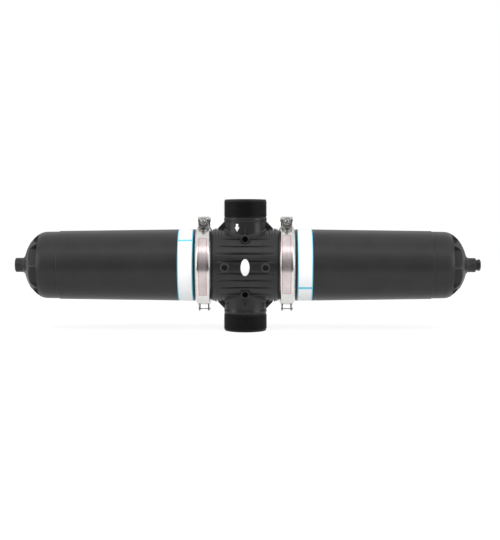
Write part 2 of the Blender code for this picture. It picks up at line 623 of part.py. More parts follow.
    # Swing bolt: an eye round the pivot pin and a shank that lies in the fork's slot
    eye = piece(name + "_swing_bolt", moved(rod(EYE_R, -EYE_HALF, EYE_HALF, "X", segments=18),
                                            Matrix.Translation(pivot)), pivot)
    shank = [(BOLT_END_Y, 0), (BOLT_END_Y, BOLT_R - 0.0008), (BOLT_END_Y + 0.0008, BOLT_R),
             (PIVOT_Y - PIVOT_R - 0.002, BOLT_R), (PIVOT_Y - PIVOT_R - 0.002, 0)]
    combine(eye, [piece("shank", moved(turned(shank, "Y", 14, closed=False),
                                       Matrix.Translation((x, 0, BOLT_Z))))], "UNION")
    combine(eye, [piece("hole", rod(PIVOT_R + GAP, x - 0.02, x + 0.02, "X", (PIVOT_Y, BOLT_Z), 16))],
            "DIFFERENCE")
    finish(eye, bright)

    washer_y = FORK_FRONT_Y - GAP - WASHER_T
    plate = [(washer_y, BOLT_R + GAP), (washer_y, WASHER_R), (washer_y + WASHER_T, WASHER_R),
             (washer_y + WASHER_T, BOLT_R + GAP)]
    at = (x, washer_y, BOLT_Z)
    finish(piece(name + "_bolt_washer", moved(turned(plate, "Y", 20),
                                              Matrix.Translation((x, 0, BOLT_Z))), at), bright)

    nut_back = washer_y - GAP
    corner = NUT_AF / 2 / cos(pi / 6)
    body = piece(name + "_bolt_nut", moved(turned([(nut_back - NUT_T, 0), (nut_back - NUT_T, corner),
                                                   (nut_back, corner), (nut_back, 0)], "Y", 6,
                                                  closed=False), Matrix.Translation((x, 0, BOLT_Z))),
                 (x, nut_back, BOLT_Z))
    cone = piece("cone", moved(turned([(nut_back - NUT_T - 0.0001, 0),
                                       (nut_back - NUT_T - 0.0001, NUT_AF / 2 - 0.0002),
                                       (nut_back - NUT_T + 0.0009, corner + 0.0003),
                                       (nut_back + 0.0001, corner + 0.0003),
                                       (nut_back + 0.0001, 0)], "Y", 14, 0.1, closed=False),
                               Matrix.Translation((x, 0, BOLT_Z))))
    combine(body, [cone], "INTERSECT")
    combine(body, [piece("bore", rod(BOLT_R + GAP, nut_back - NUT_T - 0.001, nut_back + 0.001, "Y",
                                     (x, BOLT_Z), 14))], "DIFFERENCE")
    finish(body, bright)


for side, name in ((-1, "left"), (1, "right")):
    cover(side, name + "_cover")
    seals(side, name)
    disc_element(side, name)
    clamp(side, name)

# Drain plug: hexagon head with a hollow, undercut for the seal, and the threaded part
corner = PLUG_AF / 2 / cos(pi / 6)
at = (PLUG_HEAD_X, 0, 0)
plug = piece("drain_plug", rod(corner, PLUG_HEAD_X, PLUG_END_X, "X", segments=6, start=0.0), at)
cone = piece("cone", turned([(PLUG_HEAD_X - 0.0001, 0), (PLUG_HEAD_X - 0.0001, corner - 0.0003),
                             (PLUG_END_X - 0.0012, corner - 0.0002), (PLUG_END_X + 0.0001, PLUG_AF / 2),
                             (PLUG_END_X + 0.0001, 0)], "X", 18, 0.1, closed=False))
combine(plug, [cone], "INTERSECT")
stem = [(PLUG_IN_X, 0), (PLUG_IN_X, PLUG_THREAD_R - 0.001), (PLUG_IN_X + 0.001, PLUG_THREAD_R),
        (STUB_END_X - 0.0008, PLUG_THREAD_R), (STUB_END_X - 0.0004, PLUG_NECK_R),
        (PLUG_HEAD_X + 0.001, PLUG_NECK_R), (PLUG_HEAD_X + 0.001, 0)]
combine(plug, [piece("stem", turned(stem, "X", 18, closed=False))], "UNION")
hollow = piece("hollow", rod(0.0052, PLUG_END_X - 0.004, PLUG_END_X + 0.001, "X", segments=12))
combine(plug, [hollow], "DIFFERENCE")
finish(plug, plastic)
mid = (STUB_END_X + PLUG_HEAD_X) / 2
finish(piece("drain_plug_seal", ring(PLUG_NECK_R + GAP + PLUG_SEAL_SECTION, PLUG_SEAL_SECTION, mid, 20),
             (mid, 0, 0)), rubber)
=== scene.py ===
# Twin disc filter: fine mouldings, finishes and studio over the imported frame.
# Metres, +Z up. The ports' axis is Z, the covers' axis is X, and the front is towards -Y.
from math import pi, sin, cos, tan, sqrt, asin, atan2, radians, hypot
import bpy
import bmesh
from mathutils import Matrix, Vector


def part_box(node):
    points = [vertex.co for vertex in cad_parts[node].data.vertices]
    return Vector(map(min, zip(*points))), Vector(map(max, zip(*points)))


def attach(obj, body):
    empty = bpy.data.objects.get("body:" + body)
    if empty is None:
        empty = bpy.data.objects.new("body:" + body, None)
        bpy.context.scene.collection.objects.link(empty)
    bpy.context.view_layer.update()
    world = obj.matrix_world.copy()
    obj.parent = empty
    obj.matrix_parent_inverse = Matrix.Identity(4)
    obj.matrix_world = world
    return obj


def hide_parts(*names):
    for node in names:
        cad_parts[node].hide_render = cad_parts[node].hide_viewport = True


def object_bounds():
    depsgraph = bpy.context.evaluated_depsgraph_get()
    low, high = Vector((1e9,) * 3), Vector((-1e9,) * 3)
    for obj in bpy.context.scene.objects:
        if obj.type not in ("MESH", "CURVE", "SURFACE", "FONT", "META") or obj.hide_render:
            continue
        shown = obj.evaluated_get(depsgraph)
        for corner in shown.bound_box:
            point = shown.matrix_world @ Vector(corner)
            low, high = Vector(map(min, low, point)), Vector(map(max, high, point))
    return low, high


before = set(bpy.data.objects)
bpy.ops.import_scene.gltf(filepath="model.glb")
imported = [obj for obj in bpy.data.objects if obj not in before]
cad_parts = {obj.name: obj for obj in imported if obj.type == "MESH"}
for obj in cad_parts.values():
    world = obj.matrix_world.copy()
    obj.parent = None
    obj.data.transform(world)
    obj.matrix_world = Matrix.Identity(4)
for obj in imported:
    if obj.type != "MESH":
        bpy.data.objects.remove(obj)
cad_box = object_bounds()
scene = bpy.context.scene
scene.view_settings.view_transform = "Standard"

# Camera
# A long lens a little above the covers' axis, aimed so that the two axes cross left of the middle
CAMERA_DISTANCE = 2.8
CAMERA_ELEVATION = 4.4
CAMERA_AZIMUTH = 0.35
PHOTO_SIZE = (500, 540)
PHOTO_CROSSING = (245.4, 265.0)
METRES_PER_PX = 0.002075

camera = bpy.data.objects.new("camera", bpy.data.cameras.new("camera"))
scene.collection.objects.link(camera)
scene.camera = camera
camera.data.lens = camera.data.sensor_width * CAMERA_DISTANCE / (METRES_PER_PX * max(PHOTO_SIZE))
camera.data.clip_end = 60
turn = Matrix.Rotation(radians(CAMERA_AZIMUTH), 4, "Z")
turn @= Matrix.Rotation(radians(90 - CAMERA_ELEVATION), 4, "X")
aside = (PHOTO_SIZE[0] / 2 - PHOTO_CROSSING[0]) * METRES_PER_PX
above = (PHOTO_CROSSING[1] - PHOTO_SIZE[1] / 2) * METRES_PER_PX
camera.matrix_world = turn @ Matrix.Translation((aside, above, CAMERA_DISTANCE))

# Floor and surround
# A matt white floor under the outlet face. It and the surround look plain white to the camera and in gloss
FLOOR_Z = cad_box[0][2] - 0.0004
FLOOR_HALF = 14.0
FLOOR_WHITENESS = 0.70       # how much of the floor's look is plain white, so that its shadow stays faint
FLOOR_GLOW = (1.22, 1.32)    # how bright that plain white is under the filter, and far from the lamps
FLOOR_FADE = (1.4, 4.0)      # how far out the one passes into the other


def from_bmesh(name, bm):
    """An object in the scene that has the bmesh's form."""
    mesh = bpy.data.meshes.new(name)
    bm.to_mesh(mesh)
    bm.free()
    obj = bpy.data.objects.new(name, mesh)
    scene.collection.objects.link(obj)
    return obj


floor_bm = bmesh.new()
bmesh.ops.create_grid(floor_bm, x_segments=1, y_segments=1, size=FLOOR_HALF)
bmesh.ops.translate(floor_bm, vec=(0, 0, FLOOR_Z), verts=floor_bm.verts)
floor = from_bmesh("floor", floor_bm)


def add_node(tree, kind, inputs=None, **settings):
    """Adds a shader node with its settings; each input gets a value, or the socket that feeds it."""
    node = tree.nodes.new("ShaderNode" + kind)
    for name, value in settings.items():
        setattr(node, name, value)
    for name, value in (inputs or {}).items():
        if isinstance(value, bpy.types.NodeSocket):
            tree.links.new(value, node.inputs[name])
        else:
            node.inputs[name].default_value = value
    return node


def seen_directly(tree):
    """1 for camera, glossy and transmission rays, 0 for the rays that light a matt surface."""
    rays = add_node(tree, "LightPath").outputs
    first = add_node(tree, "Math", {0: rays["Is Camera Ray"], 1: rays["Is Glossy Ray"]}, operation="MAXIMUM")
    both = add_node(tree, "Math", {0: first.outputs[0], 1: rays["Is Transmission Ray"]}, operation="MAXIMUM")
    return both.outputs[0]


floor_paint = bpy.data.materials.new("floor_white")
floor_paint.use_nodes = True
tree = floor_paint.node_tree
tree.nodes.clear()
matt = add_node(tree, "BsdfDiffuse", {"Color": (0.82, 0.82, 0.82, 1)})
outwards = add_node(tree, "VectorMath", {0: add_node(tree, "TexCoord").outputs["Object"]}, operation="LENGTH")
glow = add_node(tree, "MapRange", {"Value": outwards.outputs["Value"],
                                   "From Min": FLOOR_FADE[0], "From Max": FLOOR_FADE[1],
                                   "To Min": FLOOR_GLOW[0], "To Max": FLOOR_GLOW[1]})
plain = add_node(tree, "Emission", {"Color": (1, 1, 1, 1), "Strength": glow.outputs["Result"]})
share = add_node(tree, "Math", {0: seen_directly(tree), 1: FLOOR_WHITENESS}, operation="MULTIPLY")
blend = add_node(tree, "MixShader", {0: share.outputs[0], 1: matt.outputs[0], 2: plain.outputs[0]})
add_node(tree, "OutputMaterial", {"Surface": blend.outputs[0]})
floor.data.materials.append(floor_paint)

SURROUND_LIGHT = 0.36
world = bpy.data.worlds.new("surround")
scene.world = world
world.use_nodes = True
tree = world.node_tree
tree.nodes.clear()
strength = add_node(tree, "MapRange", {"Value": seen_directly(tree), "To Min": SURROUND_LIGHT, "To Max": 1.0})
white = add_node(tree, "Background", {"Color": (1, 1, 1, 1), "Strength": strength.outputs["Result"]})
add_node(tree, "OutputWorld", {"Surface": white.outputs[0]})

# Lights
# A large soft light overhead, a wide one high in front and one at each side, which the round necks mirror
# beside their dark middle; the grey cards give the steel its dark horizon
def soft_light(name, place, aim, size, watts):
    lamp = bpy.data.lights.new(name, "AREA")
    lamp.shape = "RECTANGLE"
    lamp.size, lamp.size_y = size
    lamp.energy = watts
    obj = bpy.data.objects.new(name, lamp)
    scene.collection.objects.link(obj)
    obj.location = place
    obj.rotation_euler = (Vector(aim) - Vector(place)).to_track_quat("-Z", "Y").to_euler()
    return obj


overhead = soft_light("overhead_light", (0.0, -0.9, 1.95), (0, 0, 0), (3.6, 2.4), 54)
overhead.visible_glossy = False
soft_light("front_light", (0.0, -2.3, 1.7), (0, 0, 0), (4.6, 2.2), 33)
soft_light("left_light", (-2.3, -1.0, 0.5), (0, 0, 0), (1.1, 1.7), 15)
soft_light("right_light", (2.3, -1.0, 0.5), (0, 0, 0), (1.1, 1.7), 15)

CARD_LOW, CARD_HIGH = -0.13, 0.46


def grey_card(name, y, half_width, foot_tone, top_tone):
    """A card that only gloss sees: dark at its foot and lighter towards its top edge."""
    bm = bmesh.new()
    bmesh.ops.create_grid(bm, x_segments=1, y_segments=1, size=0.5)
    bmesh.ops.scale(bm, vec=(2 * half_width, CARD_HIGH - CARD_LOW, 1), verts=bm.verts)
    bmesh.ops.rotate(bm, matrix=Matrix.Rotation(pi / 2, 3, "X"), verts=bm.verts)
    bmesh.ops.translate(bm, vec=(0, y, (CARD_LOW + CARD_HIGH) / 2), verts=bm.verts)
    card = from_bmesh(name, bm)
    card.visible_camera = card.visible_diffuse = card.visible_shadow = False
    card.visible_transmission = False
    paint = bpy.data.materials.new(name)
    paint.use_nodes = True
    tree = paint.node_tree
    tree.nodes.clear()
    split = add_node(tree, "SeparateXYZ", {0: add_node(tree, "TexCoord").outputs["Object"]})
    fade = add_node(tree, "MapRange", {"Value": split.outputs["Z"],
                                       "From Min": 0.0, "From Max": CARD_HIGH - 0.04,
                                       "To Min": foot_tone, "To Max": top_tone},
                    interpolation_type="SMOOTHSTEP")
    glow = add_node(tree, "Emission", {"Strength": fade.outputs["Result"]})
    add_node(tree, "OutputMaterial", {"Surface": glow.outputs[0]})
    card.data.materials.append(paint)


grey_card("front_card", -0.55, 0.8, 0.13, 0.85)
grey_card("back_card", 0.9, 1.2, 0.2, 0.6)

# Moulded plastic
# Glass-filled nylon from a satin-etched mould: near black, with a fine grain and slightly cloudy gloss
def grain_group():
    """Fine moulding grain with a broad cloudiness: colour, roughness and a bumped normal."""
    group = bpy.data.node_groups.new("moulding_grain", "ShaderNodeTree")
    for name, kind, value in (("Dark", "NodeSocketColor", (0.01, 0.01, 0.01, 1)),
                              ("Light", "NodeSocketColor", (0.02, 0.02, 0.02, 1)),
                              ("Smoothest", "NodeSocketFloat", 0.35),
                              ("Roughest", "NodeSocketFloat", 0.5),
                              ("Grain Size", "NodeSocketFloat", 900.0),
                              ("Grain Depth", "NodeSocketFloat", 0.2)):
        socket = group.interface.new_socket(name=name, in_out="INPUT", socket_type=kind)
        socket.default_value = value
    for name, kind in (("Color", "NodeSocketColor"), ("Roughness", "NodeSocketFloat"),
                       ("Normal", "NodeSocketVector")):
        group.interface.new_socket(name=name, in_out="OUTPUT", socket_type=kind)
    given = group.nodes.new("NodeGroupInput").outputs
    result = group.nodes.new("NodeGroupOutput")
    place = add_node(group, "TexCoord").outputs["Object"]
    cloud = add_node(group, "TexNoise", {"Vector": place, "Scale": 22, "Detail": 4})
    grain = add_node(group, "TexNoise", {"Vector": place, "Scale": given["Grain Size"], "Detail": 2})
    both = add_node(group, "Math", {0: grain.outputs["Fac"], 1: 0.35, 2: cloud.outputs["Fac"]},
                    operation="MULTIPLY_ADD")
    even = add_node(group, "MapRange", {"Value": both.outputs[0], "From Min": 0.45, "From Max": 0.9})
    tone = add_node(group, "Mix", {"Factor": even.outputs["Result"], "A": given["Dark"], "B": given["Light"]},
                    data_type="RGBA")
    gloss = add_node(group, "MapRange", {"Value": even.outputs["Result"], "To Min": given["Smoothest"],
                                         "To Max": given["Roughest"]})
    relief = add_node(group, "Bump", {"Height": grain.outputs["Fac"], "Strength": given["Grain Depth"],
                                      "Distance": 0.0002})
    for name, socket in (("Color", tone.outputs["Result"]), ("Roughness", gloss.outputs["Result"]),
                         ("Normal", relief.outputs["Normal"])):
        group.links.new(socket, result.inputs[name])
    return group


moulding_grain = grain_group()


def grained(name, dark, light, smoothest, roughest, size=900.0, depth=0.2, metallic=0.0, specular=0.5):
    """A material whose colour, roughness and normal come from the moulding grain."""
    mat = bpy.data.materials.new(name)
    mat.use_nodes = True
    tree = mat.node_tree
    shader = tree.nodes["Principled BSDF"]
    grain = add_node(tree, "Group", {"Dark": (*dark, 1), "Light": (*light, 1), "Smoothest": smoothest,
                                     "Roughest": roughest, "Grain Size": size, "Grain Depth": depth},
                     node_tree=moulding_grain)
    for result, given in (("Color", "Base Color"), ("Roughness", "Roughness"), ("Normal", "Normal")):
        tree.links.new(grain.outputs[result], shader.inputs[given])
    shader.inputs["Metallic"].default_value = metallic
    shader.inputs["Specular IOR Level"].default_value = specular
    return mat


body_plastic = grained("manifold_plastic", (0.010, 0.010, 0.0102), (0.016, 0.016, 0.0163), 0.28, 0.40,
                       specular=0.34)
cover_plastic = grained("cover_plastic", (0.0175, 0.0175, 0.0180), (0.0230, 0.0230, 0.0237), 0.30, 0.38,
                        specular=0.24)


def turned_shell(outline, axis, steps, start=0.0):
    """Closed shell turned a full turn about an axis through the origin, from (along, radius) points."""
    bm = bmesh.new()
    if axis == "X":
        points = [(a, -r * sin(start), r * cos(start)) for a, r in outline]
        line = (1, 0, 0)
    elif axis == "Y":
        points = [(r * cos(start), a, -r * sin(start)) for a, r in outline]
        line = (0, 1, 0)
    else:
        points = [(r * cos(start), r * sin(start), a) for a, r in outline]
        line = (0, 0, 1)
    verts = [bm.verts.new(p) for p in points]
    count = len(verts)
    on_axis = outline[0][1] == 0 and outline[-1][1] == 0
    edges = [bm.edges.new((verts[i], verts[(i + 1) % count])) for i in range(count - 1 if on_axis else count)]
    bmesh.ops.spin(bm, geom=verts + edges, cent=(0, 0, 0), axis=line, angle=2 * pi, steps=steps,
                   use_merge=True)
    bmesh.ops.remove_doubles(bm, verts=bm.verts, dist=1e-7)
    bmesh.ops.recalc_face_normals(bm, faces=bm.faces)
    return bm


def placed(bm, matrix):
    bmesh.ops.transform(bm, matrix=matrix, verts=bm.verts)
    return bm


def joined(*shells):
    """One bmesh that holds every given one."""
    whole = bmesh.new()
    for bm in shells:
        part = bpy.data.meshes.new("part")
        bm.to_mesh(part)
        bm.free()
        whole.from_mesh(part)
        bpy.data.meshes.remove(part)
    return whole


def rounded(bm, width, steps=2, sharper_than=35.0):
    """Rounds the edges that are sharper than the given angle."""
    bmesh.ops.dissolve_limit(bm, angle_limit=radians(0.5), verts=bm.verts, edges=bm.edges)
    edges = [e for e in bm.edges if e.is_manifold and e.calc_face_angle(0) > radians(sharper_than)]
    bmesh.ops.bevel(bm, geom=edges, offset=width, offset_type="OFFSET", segments=steps, profile=0.5,
                    affect="EDGES", clamp_overlap=True, material=-1)
    return bm


def dress(name, bm, finish, body, nodes=(), crease=30.0):
    """Makes a finished piece from a bmesh, puts it on its body and hides the CAD nodes it stands for."""
    obj = from_bmesh(name, bm)
    obj.data.materials.append(finish)
    obj.data.shade_smooth()
    obj.data.set_sharp_from_angle(angle=radians(crease))
    if nodes:
        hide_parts(*nodes)
    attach(obj, body)
    return obj


def carved(bm, cutter):
    """The first closed shell with the second one cut out of it."""
    pair = [from_bmesh("carving", shell) for shell in (bm, cutter)]
    step = pair[0].modifiers.new("cut", "BOOLEAN")
    step.object, step.operation, step.solver = pair[1], "DIFFERENCE", "EXACT"
    bpy.context.view_layer.update()
    result = bmesh.new()
    result.from_object(pair[0], bpy.context.evaluated_depsgraph_get())
    for obj in pair:
        bpy.data.objects.remove(obj)
    return result


# Manifold barrel
# The barrel between the two V flanges, with long flutes front and back and short fins above and below
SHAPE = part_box("manifold_body")
PORT_HALF = SHAPE[1][2]
FLANGE_FACE = SHAPE[1][0]
CLAMP_X = FLANGE_FACE + 0.00015
FLANGE_R = 0.0805
BARREL_R = 0.075
BARREL_HALF = 0.0665
CAVITY_R = 0.0675
GROOVE_R = 0.072
FLANGE_U = 0.0118         # the flange's V, measured from the clamp's middle
FLANGE_ROOT_U = 0.0167
FLUTE_ANGLES = (9.35, 21.35, 34.3, 49.1)      # degrees above and below the front and the back
FLUTE_HALF = 0.062
FLUTE_DEPTH = 0.0033
FLUTE_W = 0.0030
FIN_X = (0.0500, 0.0555, 0.0610)
FIN_HALF = 0.0011
FIN_RISE = 0.0014
FIN_SPREAD = radians(36)

flutes = sorted(radians(side + way * angle)
                for angle in FLUTE_ANGLES for way in (1, -1) for side in (90, 270))
across = [FLUTE_W * t / BARREL_R for t in (-1.0, -0.72, -0.5, -0.3, -0.12, 0.12, 0.3, 0.5, 0.72, 1.0)]
columns = sorted([f + a for f in flutes for a in across])
gaps = [(a, b) for a, b in zip(columns, columns[1:] + [columns[0] + 2 * pi]) if b - a > radians(3.5)]
for a, b in gaps:
    parts = int((b - a) / radians(2.6)) + 1
    columns += [a + (b - a) * i / parts for i in range(1, parts)]
columns = sorted(c % (2 * pi) for c in columns)

stations = [0.0] + [FLUTE_HALF * t for t in (0.16, 0.32, 0.47, 0.6, 0.7, 0.78)]
half = [(x, BARREL_R) for x in stations]
for x in FIN_X:
    half += [(x + FIN_HALF * t, BARREL_R) for t in (-1.35, -1.0, -0.55, 0.55, 1.0, 1.35)]
half += [(BARREL_HALF - 0.0010, BARREL_R), (BARREL_HALF - 0.0003, BARREL_R - 0.0003),
         (BARREL_HALF, BARREL_R - 0.0010), (BARREL_HALF, GROOVE_R + 0.0008),
         (BARREL_HALF + 0.0003, GROOVE_R + 0.0002), (BARREL_HALF + 0.0010, GROOVE_R),
         (CLAMP_X - FLANGE_ROOT_U, GROOVE_R), (CLAMP_X - FLANGE_U - 0.0003, FLANGE_R - 0.0006),
         (CLAMP_X - FLANGE_U + 0.0002, FLANGE_R), (FLANGE_FACE - 0.0004, FLANGE_R),
         (FLANGE_FACE, FLANGE_R - 0.0004), (FLANGE_FACE, CAVITY_R + 0.0006), (FLANGE_FACE - 0.0006, CAVITY_R)]
outline = [(-x, r) for x, r in reversed(half[1:])] + half
barrel_bm = turned_shell(outline, "X", len(columns))


def fin_height(x, angle):
    """How far a fin stands proud at this place: full over its width, and fading round the barrel."""
    from_top = abs((angle + pi / 2) % pi - pi / 2)
    along = max(0.0, cos(min(from_top / FIN_SPREAD, 1.0) * pi / 2)) ** 0.8
    nearest = min(abs(abs(x) - fin) for fin in FIN_X)
    if nearest < FIN_HALF * 0.6:
        return FIN_RISE * along
    if nearest < FIN_HALF * 1.1:
        return FIN_RISE * 0.75 * along
    return -FIN_RISE * 0.7 * along if FIN_X[0] - 0.002 < abs(x) < FIN_X[-1] + 0.0016 else 0.0


flute_arc = (FLUTE_HALF ** 2 + FLUTE_DEPTH ** 2) / (2 * FLUTE_DEPTH)
for v in barrel_bm.verts:
    raw = atan2(-v.co.y, v.co.z) % (2 * pi)
    angle = columns[round(raw / (2 * pi) * len(columns)) % len(columns)]
    r = hypot(v.co.y, v.co.z)
    if r > BARREL_R - 1e-5 and abs(v.co.x) < BARREL_HALF - 0.0005:
        near = min(abs((angle - f + pi) % (2 * pi) - pi) for f in flutes) * BARREL_R
        if near < FLUTE_W * 0.98 and abs(v.co.x) < FLUTE_HALF:
            deep = FLUTE_DEPTH - (flute_arc - sqrt(flute_arc ** 2 - v.co.x ** 2))
            r -= deep * (0.5 + 0.5 * cos(pi * near / FLUTE_W)) ** 1.6
        r += fin_height(v.co.x, angle)
    v.co.y, v.co.z = -r * sin(angle), r * cos(angle)

# Port necks
# Each neck flows into the barrel over a low saddle; its thread is a plain helical rib cut to 3 inch pipe size
THREAD_R = 0.04445
THREAD_DEPTH = 0.00148
THREAD_PITCH = 0.002309
THREAD_LEN = 0.0371
COLLAR_R = 0.04405
COLLAR_LEN = 0.0076
NECK_R = 0.04365
PORT_BORE_R = 0.03785
SADDLE_R = BARREL_R + 0.0014
SADDLE_TOP = SADDLE_R + 0.004
SADDLE_REACH = 0.0469
NECK_STEPS = 160

collar_z = PORT_HALF - THREAD_LEN
neck_z = collar_z - COLLAR_LEN
root_r = THREAD_R - THREAD_DEPTH


def round_corner(centre, radius, first, last, steps=4):
    """Points on an arc, as (along, radius) pairs; angles are in degrees from the axis direction."""
    return [(centre[0] + radius * cos(radians(first + (last - first) * i / steps)),
             centre[1] + radius * sin(radians(first + (last - first) * i / steps))) for i in range(steps + 1)]


neck = [(PORT_HALF - 0.0009, PORT_BORE_R), (PORT_HALF, PORT_BORE_R + 0.0009)]
neck += round_corner((PORT_HALF - 0.0012, root_r - 0.0012), 0.0012, 0, 90)
neck += [(collar_z + 0.0006, root_r), (collar_z + 0.0002, root_r + 0.0004)]
neck += round_corner((collar_z - 0.0008, COLLAR_R - 0.0006), 0.0006, 20, 90, 3)
neck += [(neck_z + 0.0008, COLLAR_R), (neck_z + 0.0002, NECK_R + 0.0001), (neck_z - 0.0003, NECK_R)]
neck += [(BARREL_R + 0.014, NECK_R)]
neck += round_corner((SADDLE_R + 0.0022, NECK_R + 0.0022), 0.0022, 270, 180, 5)
neck += round_corner((SADDLE_R - 0.0007, SADDLE_REACH - 0.0007), 0.0007, 0, 90, 3)
neck += [(BARREL_R - 0.003, SADDLE_REACH + 0.0002), (BARREL_R - 0.005, SADDLE_REACH),
         (CAVITY_R + 0.0002, NECK_R), (CAVITY_R + 0.0002, PORT_BORE_R)]


def on_the_barrel(bm, follow_below, free_above):
    """Bends the foot of a vertical part so that it follows the round barrel."""
    for v in bm.verts:
        z = abs(v.co.z)
        t = min(1.0, max(0.0, (free_above - z) / (free_above - follow_below)))
        round_r = min(max(z, CAVITY_R), SADDLE_TOP)
        v.co.z += (1 if v.co.z > 0 else -1) * t * (sqrt(round_r ** 2 - v.co.y ** 2) - round_r)
    return bm


def thread(root, crest, pitch, turns, steps, start):
    """Helical rib about Z from the given height upwards, fading out over its first and last half turn."""
    bm = bmesh.new()
    section = [(root, -0.45 * pitch), (crest, -0.10 * pitch), (crest, 0.10 * pitch), (root, 0.45 * pitch)]
    verts = [bm.verts.new((r, 0, start + z)) for r, z in section]
    edges = [bm.edges.new((verts[i], verts[(i + 1) % 4])) for i in range(4)]
    count = int(turns * steps)
    bmesh.ops.spin(bm, geom=verts + edges, cent=(0, 0, 0), axis=(0, 0, 1), dvec=(0, 0, pitch / steps),
                   angle=2 * pi * count / steps, steps=count)
    bm.verts.ensure_lookup_table()
    sunk = root - 0.3 * (crest - root)
    for i, v in enumerate(bm.verts):
        ring = i // 4
        fade = min(1.0, ring / (0.5 * steps), (count - ring) / (0.5 * steps))
        r = hypot(v.co.x, v.co.y)
        new_r = sunk + (r - sunk) * fade if fade < 1.0 else r
        v.co.x *= new_r / r
        v.co.y *= new_r / r
    bmesh.ops.holes_fill(bm, edges=[e for e in bm.edges if e.is_boundary], sides=0)
    bmesh.ops.recalc_face_normals(bm, faces=bm.faces)
    return bm


flip = Matrix.Rotation(pi, 4, "X")
thread_turns = (THREAD_LEN - 0.0042) / THREAD_PITCH
shells = []
for upper in (True, False):
    neck_bm = on_the_barrel(turned_shell(neck, "Z", NECK_STEPS), SADDLE_TOP, neck_z)
    rib = thread(root_r - 0.0002, THREAD_R, THREAD_PITCH, thread_turns, 96, collar_z + 0.0018)
    for bm in (neck_bm, rib):
        shells.append(bm if upper else placed(bm, flip))

# Blind bosses and webs
# Four round sockets look forward; the two by the ports run into a short rib, and webs brace the necks
BOSS_HOLE_R = 0.0056
BOSS_DEPTH = 0.0075
SIDE_BOSS = (0.0098, 0.0775, 0.0718)     # radius, how far the face stands forward, and the root
SIDE_BOSS_X = 0.0415
PORT_BOSS_R = 0.0092
PORT_BOSS_Z = sqrt(BARREL_R ** 2 - NECK_R ** 2) - 0.0047
PORT_BOSS_FACE = sqrt(BARREL_R ** 2 - (PORT_BOSS_Z - PORT_BOSS_R) ** 2) + 0.0015
PORT_BOSS = (PORT_BOSS_R, PORT_BOSS_FACE, NECK_R - 0.0025)
bosses = [(SIDE_BOSS_X, 0.0, SIDE_BOSS), (-SIDE_BOSS_X, 0.0, SIDE_BOSS),
          (0.0, PORT_BOSS_Z, PORT_BOSS), (0.0, -PORT_BOSS_Z, PORT_BOSS)]

boss_cutters = []
for x, z, (radius, face, foot) in bosses:
    seat = Matrix.Translation((x, 0, z))
    floor_y = face - BOSS_DEPTH
    socket = [(-floor_y, 0.0), (-floor_y, BOSS_HOLE_R), (-face + 0.0012, BOSS_HOLE_R),
              (-face + 0.0004, BOSS_HOLE_R + 0.0003), (-face, BOSS_HOLE_R + 0.0011)]
    socket += round_corner((-face + 0.0017, radius - 0.0017), 0.0017, 180, 90, 6)
    socket += [(-foot, radius), (-foot + 0.0008, radius - 0.0008), (-foot + 0.0008, 0.0)]
    shells.append(placed(turned_shell(socket, "Y", 64), seat))
    plug = turned_shell([(-face - 0.001, 0.0), (-face - 0.001, BOSS_HOLE_R + 0.0009),
                         (-floor_y + 0.0006, BOSS_HOLE_R + 0.0009), (-floor_y + 0.0006, 0.0)], "Y", 40, 0.03)
    boss_cutters.append(placed(plug, seat))


def sheet_shape(outline, a, b, axis):
    """Flat shape of the given outline, in the other two coordinates in order, from a to b along an axis."""
    bm = bmesh.new()
    k = "XYZ".index(axis)
    rest = [i for i in range(3) if i != k]
    verts = []
    for p, q in outline:
        co = [0.0, 0.0, 0.0]
        co[k], co[rest[0]], co[rest[1]] = a, p, q
        verts.append(bm.verts.new(co))
    face = bm.faces.new(verts)
    step = [0.0, 0.0, 0.0]
    step[k] = b - a
    pushed = bmesh.ops.extrude_face_region(bm, geom=[face], use_keep_orig=True)
    moving = [g for g in pushed["geom"] if isinstance(g, bmesh.types.BMVert)]
    bmesh.ops.translate(bm, vec=step, verts=moving)
    bmesh.ops.recalc_face_normals(bm, faces=bm.faces)
    return bm


WEB_X = NECK_R + 0.014
WEB_Z = BARREL_R + 0.0155
WEB_HALF = 0.0025
RIB_HALF_W = 0.0012
for up in (1, -1):
    for side in (1, -1):
        web = [(side * (NECK_R - 0.003), up * (BARREL_R - 0.004)), (side * WEB_X, up * (BARREL_R - 0.004)),
               (side * WEB_X, up * (BARREL_R + 0.0008)), (side * NECK_R, up * WEB_Z),
               (side * (NECK_R - 0.003), up * WEB_Z)]
        shells.append(rounded(sheet_shape(web, -WEB_HALF, WEB_HALF, "Y"), 0.0008))
    rim = PORT_BOSS_Z + PORT_BOSS_R
    crest = [(-PORT_BOSS_FACE + 0.0014, up * (rim - 0.003)), (-PORT_BOSS_FACE + 0.0014, up * (rim + 0.0006)),
             (-PORT_BOSS_FACE + 0.0024, up * (rim + 0.0016)), (-NECK_R - 0.0004, up * (BARREL_R + 0.0045)),
             (-NECK_R + 0.003, up * (BARREL_R + 0.0045)), (-NECK_R + 0.003, up * (rim - 0.003))]
    shells.append(rounded(sheet_shape(crest, -RIB_HALF_W, RIB_HALF_W, "X"), 0.0006))

# Badge and flow arrow
# A domed white oval with a groove inside its rim lies on a low black pad at the front of the barrel, and a
# raised white arrow on the inlet neck points into the filter
BADGE_HALF_X, BADGE_HALF_Z = 0.0091, 0.0171
BADGE_RISE = 0.0011
PAD_MARGIN = 0.0006
PAD_RISE = 0.0003
ARROW_X, ARROW_TOP, ARROW_LEN = -0.0166, 0.0870, 0.0168
ARROW_RISE = 0.0005

badge_white = grained("badge_white", (0.70, 0.705, 0.71), (0.80, 0.805, 0.81), 0.26, 0.40, size=500.0,
                      depth=0.06)


